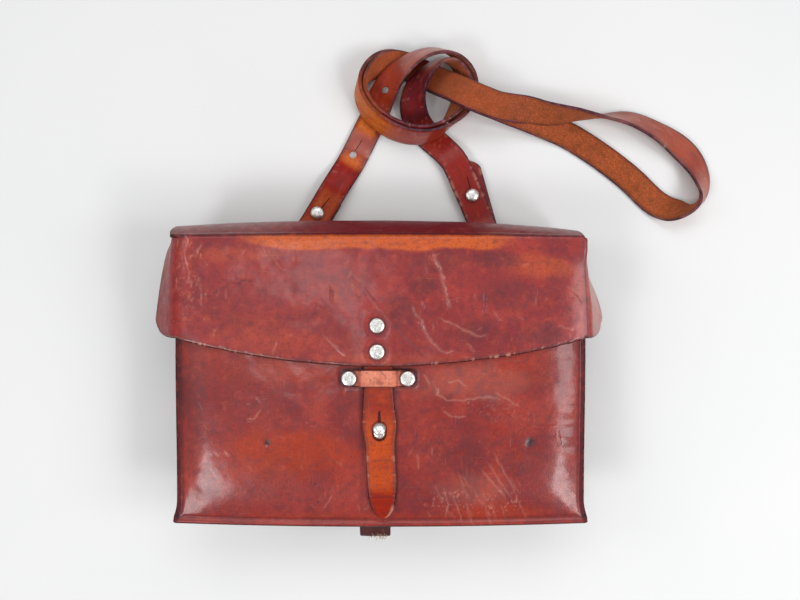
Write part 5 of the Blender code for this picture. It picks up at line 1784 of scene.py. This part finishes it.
def build_closure_stud():
    """The stud leans towards the flap, and its foot shows below it."""
    add_stud(
        "closure_stud_body", "closure_stud", (-0.5, -33.6, FRONT_FACE_Z + 0.6),
        axis=(0, 0.50, 1), body="bag_body", seed=11, neck=3.4, r=4.4,
    )
    foot_profile = [
        (0, -0.3), (4.1, -0.3), (4.25, 0.0), (4.2, 0.7), (3.7, 1.05), (2.0, 1.15), (0, 1.15),
    ]
    foot = turned(
        "closure_stud_foot", foot_profile, (-0.5, -34.9, FRONT_FACE_Z + 0.1),
        axis=(0, -0.05, 1), segs=40, dent=0.03, seed=4,
    )
    dress(foot, NICKEL, "bag_body")
    centre = (-0.5, -31.6, FRONT_FACE_Z - BODY_T - GAP)
    add_screw("closure_screw", "closure_stud_screw", centre, "bag_body", length=6.0)


def build_loop_rivets():
    for place, z in (("back", 24.0), ("front", 48.0)):
        centre = (LOOP_X, WEB_Y - GAP - LOOP_T - GAP, z)
        name, cad = f"loop_rivet_{place}_cap", f"bottom_loop_rivet_{place}"
        add_rivet(name, cad, centre, 7.0, BOTTOMWARD, 20 + int(z), "bag_body", r=4.0)
        centre = (LOOP_X, WEB_Y + GUSSET_T + GAP + 0.7, z)
        name, cad = f"loop_washer_{place}", f"bottom_loop_burr_{place}"
        add_washer(name, cad, centre, BOTTOMWARD, "bag_body")


# ------------------------------------------------------------------ shoulder strap

# x, y, z of the strap's middle, and its roll in degrees
# from the left leg round the inside of the coil and out to the right
LEFT_GUIDE = [
    (-54.7, 99.2, 8.1, 0), (-48.5, 109.4, 5.5, 0), (-41.1, 121.8, 5.5, 0),
    (-33.6, 134.3, 5.3, 0), (-27.5, 144.6, 2.3, 0), (-21.8, 154.1, 1.8, 0),
    (-11.5, 174.7, 1.5, 0), (-4.5, 189.3, 1.6, 0), (-1.6, 196.8, 3.6, 2),
    (2.5, 204.5, 8.0, 10), (8.7, 212.4, 13.8, 27), (18.0, 220.7, 17.4, 46),
    (30.1, 227.7, 17.6, 58), (43.7, 230.1, 15.6, 70), (54.6, 226.3, 12.4, 88),
    (61.3, 217.0, 9.8, 112), (62.8, 205.0, 8.8, 130), (59.9, 193.4, 9.2, 130),
    (54.0, 182.9, 10.8, 112), (45.9, 174.8, 13.6, 90), (34.4, 169.1, 15.2, 74),
    (20.1, 168.8, 15.2, 67), (5.5, 173.8, 15.0, 64), (-7.4, 183.1, 14.8, 65),
    (-15.6, 195.4, 14.4, 71), (-17.4, 206.4, 13.4, 81), (-12.9, 216.3, 11.2, 98),
    (-4.3, 222.1, 8.2, 127), (5.7, 224.3, 4.4, 157), (17.4, 222.0, 1.9, 178),
    (27.6, 217.4, 1.6, 180), (37.8, 212.5, 2.2, 180), (45.5, 207.5, 7.4, 180),
    (51.9, 202.7, 16.2, 180), (58.9, 197.8, 22.6, 180), (69.4, 193.2, 23.4, 180),
    (80.4, 189.9, 19.2, 180), (93.4, 186.5, 12.4, 180),
]
# from the right leg up to the coil
RIGHT_GUIDE = [
    (75.5, 99.2, 8.1, 0), (71.4, 109.3, 5.5, 0), (66.0, 122.6, 5.5, 0),
    (60.0, 136.0, 5.5, 0), (56.6, 144.2, 5.5, 0), (51.7, 153.4, 5.4, 0),
    (47.2, 158.9, 4.3, 0), (42.6, 163.6, 2.2, 0), (35.3, 169.9, 1.5, 0),
    (26.1, 180.1, 3.4, 4), (22.4, 190.7, 8.0, 14), (23.0, 200.3, 13.2, 30),
    (27.2, 209.4, 17.0, 48), (34.3, 217.8, 17.6, 62), (43.0, 223.5, 16.0, 76),
]
# the bight lying out to the right of the coil
BIGHT_GUIDE = [
    (104.8, 188.4, 12.0, 160), (115.9, 186.2, 11.6, 138), (127.3, 185.2, 12.0, 122),
    (139.2, 185.0, 12.0, 104), (156.2, 184.0, 10.6, 80), (179.8, 182.7, 8.4, 48),
    (198.8, 174.2, 7.6, 38), (219.3, 160.3, 4.6, 14), (228.1, 148.5, 5.6, 26),
    (231.4, 137.7, 7.4, 40), (231.3, 128.5, 8.8, 54), (227.2, 120.8, 10.1, 88),
    (219.3, 117.7, 9.0, 122), (208.6, 117.8, 4.0, 164), (198.4, 123.5, 1.6, 180),
    (180.9, 140.4, 1.5, 180), (156.8, 158.8, 1.5, 180), (134.2, 172.7, 1.7, 180),
    (119.2, 178.6, 3.6, 180), (106.3, 182.9, 7.6, 180),
]


def between(u, t0, t1, p, q):
    return (t1 - u) / (t1 - t0) * p + (u - t0) / (t1 - t0) * q


def spline(guide, pitch):
    """A centripetal Catmull-Rom curve through guide rows, in steps of about pitch."""
    p = np.array(guide, float)
    p = np.vstack([2 * p[0] - p[1], p, 2 * p[-1] - p[-2]])
    out = []
    for i in range(1, len(p) - 2):
        p0, p1, p2, p3 = p[i - 1 : i + 3]
        knots = [0.0]
        for a, b in ((p0, p1), (p1, p2), (p2, p3)):
            knots.append(knots[-1] + math.sqrt(max(np.linalg.norm((b - a)[:3]), 1e-6)))
        t0, t1, t2, t3 = knots
        steps = max(1, int(round(np.linalg.norm((p2 - p1)[:3]) / pitch)))
        for k in range(steps):
            u = t1 + (t2 - t1) * k / steps
            a2 = between(u, t1, t2, p1, p2)
            b1 = between(u, t0, t2, between(u, t0, t1, p0, p1), a2)
            b2 = between(u, t1, t3, a2, between(u, t2, t3, p2, p3))
            out.append(between(u, t1, t2, b1, b2))
    out.append(p[-2])
    return np.array(out)


def roll_frames(curve):
    """Centres, width directions and grain normals of a curve with roll."""
    centres = curve[:, :3]
    tangent = unit(np.gradient(centres, axis=0))
    level = unit(np.cross(tangent, [0, 0, 1.0]))
    up = np.cross(level, tangent)
    roll = np.radians(curve[:, 3])[:, None]
    across = np.cos(roll) * level + np.sin(roll) * up
    return centres, across, -np.sin(roll) * level + np.cos(roll) * up


def nearest(curve, point):
    gaps = np.linalg.norm(curve[:, :3] - np.array(point[:3]), axis=1)
    return int(np.argmin(gaps))


def coil():
    """The loose strap from the right leg through the coil and the bight to the left leg."""
    left = spline(LEFT_GUIDE, pitch=5.0)
    left_run = roll_frames(left)
    # the second strand of the ring runs beside the first, on the side away from its grain
    start, end = nearest(left, LEFT_GUIDE[14]), nearest(left, LEFT_GUIDE[36])
    centres, across, grain = (part[start : end + 1] for part in left_run)
    roll = left[start : end + 1, 3]
    early = np.arange(len(roll)) < len(roll) * 0.35
    gap = STRAND_GAP + 1.5 * bell(roll - 118, 22.0) * early
    strand = (centres - grain * gap[:, None], across, grain)
    places = strand[0]
    joined = [(*places[k], left[start + k, 3]) for k in (0, 1)]
    right = spline(RIGHT_GUIDE + joined, pitch=4.0)
    right_end = nearest(right, places[0])
    bight_start = [(*places[-2], 180.0), (*places[-1], 180.0)]
    bight_end = [LEFT_GUIDE[-1], LEFT_GUIDE[-2]]
    bight = spline(bight_start + BIGHT_GUIDE + bight_end, pitch=4.0)
    a, b = nearest(bight, places[-1]), nearest(bight, LEFT_GUIDE[-1])
    right_run, bight_run = roll_frames(right), roll_frames(bight)
    centres, across, grain = (
        np.vstack([right_run[k][:right_end], strand[k], bight_run[k][a + 1 : b], sign * home])
        for k, sign, home in ((k, (1, -1, 1)[k], left_run[k][::-1]) for k in range(3))
    )
    # nothing goes through the floor
    low = centres[:, 2] - STRAP_W / 2 * np.abs(across[:, 2])
    low = low - STRAP_T / 2 * np.abs(grain[:, 2]) - 0.05
    centres[:, 2] -= np.minimum(low, 0)
    # the parts behind the case are the hairpins
    beyond = centres[:, 1] > 100.5
    first = int(np.argmax(beyond))
    last = len(centres) - int(np.argmax(beyond[::-1]))
    return centres[first:last], across[first:last], grain[first:last]


def anchor_frame(which):
    """Direction of the leg, direction across it, and the anchor band's middle."""
    end = STRAP_ENDS[which]
    leg = unit(np.array(end["leg"]))
    return leg, np.array([leg[1], -leg[0]]), np.array(end["edge"]) - leg * ANCHOR_INSET


def hairpin(which):
    """The strap behind the case: from the edge in, round the anchor band and out again."""
    leg, across, anchor = anchor_frame(which)
    mid_z, radius = (SHORT_Z + LONG_Z) / 2, (LONG_Z - SHORT_Z) / 2
    walk = [(20.0 - 2.0 * k, LONG_Z) for k in range(14)]
    for k in range(13):
        a = math.pi * k / 12
        walk.append((-8.0 - radius * math.sin(a), mid_z + radius * math.cos(a)))
    walk += [(-6.0 + 2.0 * k, SHORT_Z) for k in range(14)]
    walk = np.array(walk)
    centres = np.array([[*(anchor + leg * s), z] for s, z in walk])
    tangent = unit(np.gradient(walk, axis=0))
    grain = np.array([[*(leg * a), -b] for b, a in tangent])
    return centres, np.tile([*across, 0.0], (len(walk), 1)), grain, np.full(len(walk), STRAP_W)


def strap_tip(which):
    """The short end beyond the edge, under the long run, with its width."""
    end = STRAP_ENDS[which]
    way = unit(np.array(end["tip"]))
    length = end["tip_length"]
    rounding = np.array([1.5, 3, 4.4, 5.6, 6.5, 7.2, 7.7, 8.0])
    s = np.concatenate([np.linspace(2.0, length - 8, 24), length - 8 + rounding])
    centres = np.array([[*(np.array(end["edge"]) + way * v), SHORT_Z] for v in s])
    narrowed = STRAP_W / 2 - (s - length + 8.0) ** 2 / 8.0 * 0.8
    half = np.where(s < length - 7.5, STRAP_W / 2, narrowed)
    across = np.tile([way[1], -way[0], 0.0], (len(s), 1))
    return centres, across, np.tile([0, 0, 1.0], (len(s), 1)), half * 2


def chain(parts):
    """Joins strap runs end to end, keeping the sense of their directions."""
    joined = [list(parts[0])]
    for centres, across, grain, width in parts[1:]:
        last = joined[-1]
        across = across * (1.0 if float(np.dot(last[1][-1], across[0])) > 0 else -1.0)
        grain = grain * (1.0 if float(np.dot(last[2][-1], grain[0])) > 0 else -1.0)
        joined.append([centres, across, grain, width])
    return [np.concatenate(column) for column in zip(*joined)]


def resample(centres, across, grain, width):
    """Even steps of about STRAP_PITCH on a smooth curve through the points."""
    s = lengths_along(centres)
    t = np.linspace(0, s[-1], int(s[-1] / STRAP_PITCH) + 1)
    k = np.clip(np.searchsorted(s, t, side="right") - 1, 0, len(s) - 2)
    h = (s[k + 1] - s[k])[:, None]
    f = ((t - s[k])[:, None]) / h

    def hermite(v):
        slope = np.gradient(v, s, axis=0)
        out = (2 * f**3 - 3 * f**2 + 1) * v[k] + (f**3 - 2 * f**2 + f) * h * slope[k]
        return out + (-2 * f**3 + 3 * f**2) * v[k + 1] + (f**3 - f**2) * h * slope[k + 1]

    grain = unit(hermite(grain))
    return hermite(centres), square_to(hermite(across), grain), grain, t, np.interp(t, s, width)


def square_to(vectors, normals):
    return unit(vectors - normals * (vectors * normals).sum(axis=1)[:, None])


def soften(v, reach, where):
    """Running average along the strap, only where it is asked for."""
    kernel = np.exp(-((np.arange(-12, 13) * STRAP_PITCH / reach) ** 2) / 2)
    kernel /= kernel.sum()
    padded = np.vstack([np.repeat(v[:1], 12, axis=0), v, np.repeat(v[-1:], 12, axis=0)])
    columns = [np.convolve(padded[:, q], kernel, mode="valid") for q in range(3)]
    return v + (np.stack(columns, axis=1) - v) * where[:, None]


def strap_run():
    """The whole strap from its right tip to its left one, grain up on the right leg."""
    middle = coil()

    def backwards(part):
        return tuple(v[::-1] for v in part)

    parts = [
        backwards(strap_tip("right")),
        backwards(hairpin("right")),
        (*middle, np.full(len(middle[0]), STRAP_W)),
        hairpin("left"),
        strap_tip("left"),
    ]
    centres, across, grain, along, width = resample(*chain(parts))
    loose = smooth01((centres[:, 1] - 150.0) / 12.0) + smooth01((centres[:, 0] - 90) / 12.0)
    loose = np.clip(loose, 0, 1)
    centres = soften(centres, 3.5, loose)
    across = soften(across, 6.0, loose)
    tangent = unit(np.gradient(centres, axis=0))
    across -= tangent * (across * tangent).sum(axis=1)[:, None] * loose[:, None]
    across = unit(across)
    squared = np.cross(across, tangent)
    squared *= np.sign((squared * grain).sum(axis=1))[:, None]
    grain = unit(grain * (1 - loose[:, None]) + squared * loose[:, None])
    if float(np.dot(grain[nearest(centres, middle[0][0])], middle[2][0])) < 0:
        grain = -grain
    return centres, across, grain, along, width


def strap_colouring(centres, along, is_tip):
    x, y = centres[:, 0], centres[:, 1]
    over, run = np.meshgrid(RIBBON[:, 0], along)
    off = np.abs(over)
    # the strap's parts, one value per centre
    in_bight = smooth01((x - 96) / 20.0)
    in_ring = smooth01((96 - x) / 12.0) * smooth01((y - 168) / 10.0)
    left_half = along > along[-1] / 2
    right_half = along < along[-1] / 2
    left_leg = (1 - in_bight) * (x < 5) * (y < 182) * left_half
    right_leg = (1 - in_bight) * (y < 182) * right_half
    low_ring = in_ring * smooth01((216 - y) / 10) * smooth01((34 - x) / 26)
    low_ring = low_ring * smooth01((np.hypot(x - 21.5, y - 197) - 24) / 6)
    # painted shade on the inner turn of the coil: darker, deeper, less worn and without polish
    inner_turn_shade = np.exp(-(((x - 24) / 10) ** 4)) * smooth01((y - 178) / 6)
    inner_turn_shade = inner_turn_shade * smooth01((222 - y) / 6) * (1 - in_bight)
    broad = noise(run, over * 9, size=26, seed=3)
    medium = noise(run, over * 7, size=17, seed=8)
    small = noise(run, over * 8, size=7, seed=18)

    wear = (0.25 * in_ring + 1.0 * low_ring + 0.10 * in_bight)[:, None] * (0.85 + 0.35 * broad)
    leg_wear = left_leg * (0.55 * smooth01((134 - y) / 8) + 0.9 * bell(y - 153.5, 4.5))
    wear += leg_wear[:, None] * (0.8 + 0.4 * medium)
    wear *= (1 - 0.9 * inner_turn_shade)[:, None]

    left_deep = left_leg * 0.9 * smooth01((y - 128) / 6) * smooth01((151 - y) / 4)
    deepen = left_deep[:, None] + (right_leg * 0.85)[:, None] * (0.8 + 0.3 * medium)
    deepen += (0.35 * (1 - low_ring) * in_ring)[:, None] * (0.8 + 0.4 * broad)
    deepen += 0.5 * smooth01((off - 0.7) / 0.3) * (left_leg + right_leg)[:, None]
    deepen += inner_turn_shade[:, None] * 0.9
    deepen = np.maximum(deepen, 0.8 * is_tip[:, None])

    dirt = 0.10 * smooth01(medium * 2)
    dirt += (0.30 + 0.50 * in_bight)[:, None] * smooth01((off - 0.82) / 0.14)
    dirt += 0.62 * inner_turn_shade[:, None] + 0.20 * is_tip[:, None]

    # short pale scratches, nicked edges, and paler stretches
    mark = 0.25 * (noise(run, over * 24, size=1.9, seed=5) > 0.62) * smooth01(small * 2.5)
    nicks = noise_along(run, size=1.7, seed=25) + 0.6 * noise_along(run, size=11, seed=26)
    nicks = (off > 0.94) * smooth01((nicks - 0.45) / 0.3)
    mark += 0.50 * nicks * (right_leg + 0.5 * left_leg)[:, None]
    pale = in_bight * 0.36 + 0.40 * in_ring * smooth01((y - 212) / 8)
    pale += left_leg * 0.40 * smooth01((y - 158) / 4) * smooth01((176 - y) / 6)
    mark += pale[:, None] * (0.8 + 0.35 * small)

    dull = inner_turn_shade + 0.9 * low_ring + 0.3 * in_bight
    dull += 0.75 * left_leg * smooth01((156 - y) / 6) + 0.35 * right_leg
    return {
        "wear": np.clip(wear, 0, 1),
        "dirt": np.clip(dirt, 0, 1),
        "mark": np.clip(mark, 0, 0.8),
        "deepen": np.clip(deepen, 0, 1),
        "dull": np.clip(dull, 0, 1),
    }


def build_shoulder_strap():
    centres, across, grain, along, width = strap_run()
    in_right_half = along < along[-1] / 2
    lengths = [STRAP_ENDS[which]["tip_length"] for which in ("right", "left")]
    is_tip = np.minimum(along, along[-1] - along) < np.where(in_right_half, *lengths)
    attrs = strap_colouring(centres, along, is_tip)
    # the coiled part is a little uneven
    wave = 0.12 * noise_along(along, size=30, seed=2) * (centres[:, 1] > 130)
    centres = centres + grain * wave[:, None]
    strap = ribbon(
        "shoulder_strap_leather", centres, across, grain, width, STRAP_T, attrs,
        all_grain=is_tip,
    )
    # a keyhole in each long run and a round hole in the short run under it
    for end in STRAP_ENDS.values():
        x, y = end["stud"]
        aim = math.atan2(end["slit"][1], end["slit"][0])
        cut_away(strap, keyhole(x, y, 2.8, aim, 12.0, segs=26), 3.96, 10.0)
        cut_away(strap, circle(x, y, 1.85, segs=18), -1.0, 3.97)
    # a free keyhole on the left leg and a round hole in the coil
    aim = math.atan2(9.5, 5.8)
    cut_away(strap, keyhole(-21.3, 157.8, 2.7, aim, 10.0, segs=26), -1.0, 5.0)
    cut_away(strap, circle(2.2, 203.7, 2.5, segs=24), 2.0, 13.0)
    sharpen(strap, 55)
    replaced = (
        "shoulder_strap", "strap_tip_left", "strap_tip_right", "strap_end_left",
        "strap_end_right",
    )
    dress(strap, STRAP, None, replaced)
    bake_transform(strap, "bag_body", "shoulder_strap", start=(0, 0.095, 0.0), end=(0, 0.103, 0.0))


def build_anchor(which):
    """The band under the back that holds a strap end, its rivets, and the end's stud."""
    leg, across, anchor = anchor_frame(which)
    reach = ANCHOR_LENGTH / 2 - ANCHOR_T / 2
    off = np.linspace(-reach, reach, 97)
    straight = ANCHOR_LENGTH / 2 - ANCHOR_CORNER
    into = (np.abs(off) - straight) / ANCHOR_CORNER
    corner = ANCHOR_CORNER * (1 - np.sqrt(np.clip(1 - into**2, 0, None)))
    half = ANCHOR_WIDTH / 2 - ANCHOR_T / 2 - np.where(np.abs(off) < straight, 0, corner)
    up = np.linspace(-1, 1, 25)[:, None]
    flat = anchor + across * off[None, :, None] + leg * (up * half)[..., None]
    x, y = flat[..., 0], flat[..., 1]
    z = 4.2 + 2.8 * smooth01((np.abs(off) - 11.2) / 3.4) + 0.10 * up**2
    z = z + 0.06 * noise(x, y, size=5, seed=3)
    attrs = {
        "wear": 0.8 * bell(np.abs(off) - 11.5, 2.0)[None, :] * np.ones((25, 1)),
        "dirt": np.full((25, 97), 0.25),
        "mark": np.zeros((25, 97)),
    }
    name = f"strap_anchor_{which}"
    band = sheet(name + "_leather", xyz(x, y, z), (0, 0, -1), ANCHOR_T, attrs)
    dress(band, ANCHOR, "bag_body", (name,))

    inner = 19.0 if which == "left" else -19.0
    washer_z = BACK_Z + BACK_LIFT + BODY_T + GAP
    for place, away in (("inner", inner), ("outer", -inner)):
        x, y = anchor + across * away
        name = f"anchor_rivet_{which}_{place}"
        seed = 30 + len(place) + (which == "left")
        add_rivet(name + "_cap", name, (x, y, 6.7), 7.4, DOWN, seed, "bag_body")
        name, cad = f"anchor_washer_{which}_{place}", f"anchor_burr_{which}_{place}"
        add_washer(name, cad, (x, y, washer_z), UP, "bag_body")
    x, y = STRAP_ENDS[which]["stud"]
    body = "shoulder_strap"
    name = f"strap_stud_{which}"
    centre = (x, y, SHORT_Z + 1.6)
    add_stud(name + "_body", name, centre, UP, body, seed=40 + len(which), neck=3.3)
    name = f"strap_screw_{which}"
    add_screw(name + "_body", name, (x, y, SHORT_Z - 1.45), body, length=4.9)


# ------------------------------------------------------------------ floor, light, camera


def build_floor():
    bpy.ops.mesh.primitive_plane_add(size=16.0, location=(0, 0, -BASE_Z * MM - 0.0002))
    floor = bpy.context.object
    floor.name = "floor"
    m = Nodes("floor_paper")
    place = m.node("NewGeometry").outputs["Position"]
    clouds = m.ramp(m.noise(place, scale=6, detail=2), span=(0.3, 0.7))
    m.surface(
        Base_Color=m.mix(clouds, (0.80, 0.80, 0.80), (0.78, 0.785, 0.79)),
        Roughness=0.9,
    )
    floor.data.materials.append(m.mat)
    return floor


def area(name, place, target, size, watts):
    """A rectangular lamp at place, facing target."""
    data = bpy.data.lights.new(name, "AREA")
    data.shape = "RECTANGLE"
    data.size, data.size_y = size
    data.energy = watts
    ob = bpy.data.objects.new(name, data)
    bpy.context.scene.collection.objects.link(ob)
    ob.location = place
    way = Vector(target) - Vector(place)
    ob.rotation_euler = way.to_track_quat("-Z", "Y").to_euler()
    return ob


def build_lamps():
    left, right = (-0.04, -0.02, 0.03), (0.06, -0.02, 0.03)
    return [
        area("overhead", (0.05, 0.95, 1.30), (0, 0.05, 0), size=(1.3, 0.7), watts=5.9),
        area("right", (0.86, -0.06, 0.90), (0.06, 0, 0.03), size=(0.36, 0.62), watts=4.1),
        area("lower_right", (0.76, -0.52, 1.0), right, size=(0.34, 0.34), watts=4.1),
        area("lower_left", (-0.62, -0.52, 1.02), left, size=(0.40, 0.36), watts=4.5),
        area("soft", (-0.20, 0.04, 1.55), (0, 0.05, 0.03), size=(0.24, 0.22), watts=1.15),
        area("left", (-1.0, 0.35, 1.0), (-0.04, 0.05, 0.03), size=(0.5, 0.6), watts=2.3),
    ]


def build_world():
    """A grey sky whose level depends on how steeply one looks at it."""
    world = bpy.data.worlds.new("studio")
    world.use_nodes = True
    tree = world.node_tree
    geometry = tree.nodes.new("ShaderNodeNewGeometry")
    split = tree.nodes.new("ShaderNodeSeparateXYZ")
    tree.links.new(geometry.outputs["Incoming"], split.inputs[0])
    steepness = tree.nodes.new("ShaderNodeMath")
    steepness.operation = "ABSOLUTE"
    tree.links.new(split.outputs["Z"], steepness.inputs[0])
    gradient = tree.nodes.new("ShaderNodeValToRGB")
    tree.links.new(steepness.outputs[0], gradient.inputs[0])
    stops = gradient.color_ramp.elements
    stops[0].position, stops[0].color = 0.05, (0.14, 0.14, 0.15, 1)
    stops[1].position, stops[1].color = 0.99, (0.22, 0.22, 0.22, 1)
    for place, level in ((0.45, 0.42), (0.80, 0.50), (0.93, 0.30)):
        stops.new(place).color = (level, level, level, 1)
    background = tree.nodes["Background"]
    tree.links.new(gradient.outputs["Color"], background.inputs["Color"])
    background.inputs["Strength"].default_value = 0.85
    bpy.context.scene.world = world


def build_camera():
    """It looks straight down."""
    data = bpy.data.cameras.new("camera")
    data.sensor_width = 36.0
    data.lens = 38.61
    camera = bpy.data.objects.new("camera", data)
    bpy.context.scene.collection.objects.link(camera)
    camera.location = (0.013, 0.052, 0.6184)
    camera.rotation_euler = (0, 0, 0)
    bpy.context.scene.camera = camera
    return camera


build_front()
build_gusset()
finish_back_and_flap(build_back(), build_flap())
build_closure_strap()
build_keeper()
build_bottom_loop()
build_frayed_threads()
build_seams()
build_flap_and_keeper_rivets()
build_closure_stud()
build_loop_rivets()
build_shoulder_strap()
for end_name in STRAP_ENDS:
    build_anchor(end_name)

stage_floor = build_floor()
lamps = build_lamps()
build_world()
stage_camera = build_camera()
bpy.context.scene.view_settings.view_transform = "Standard"
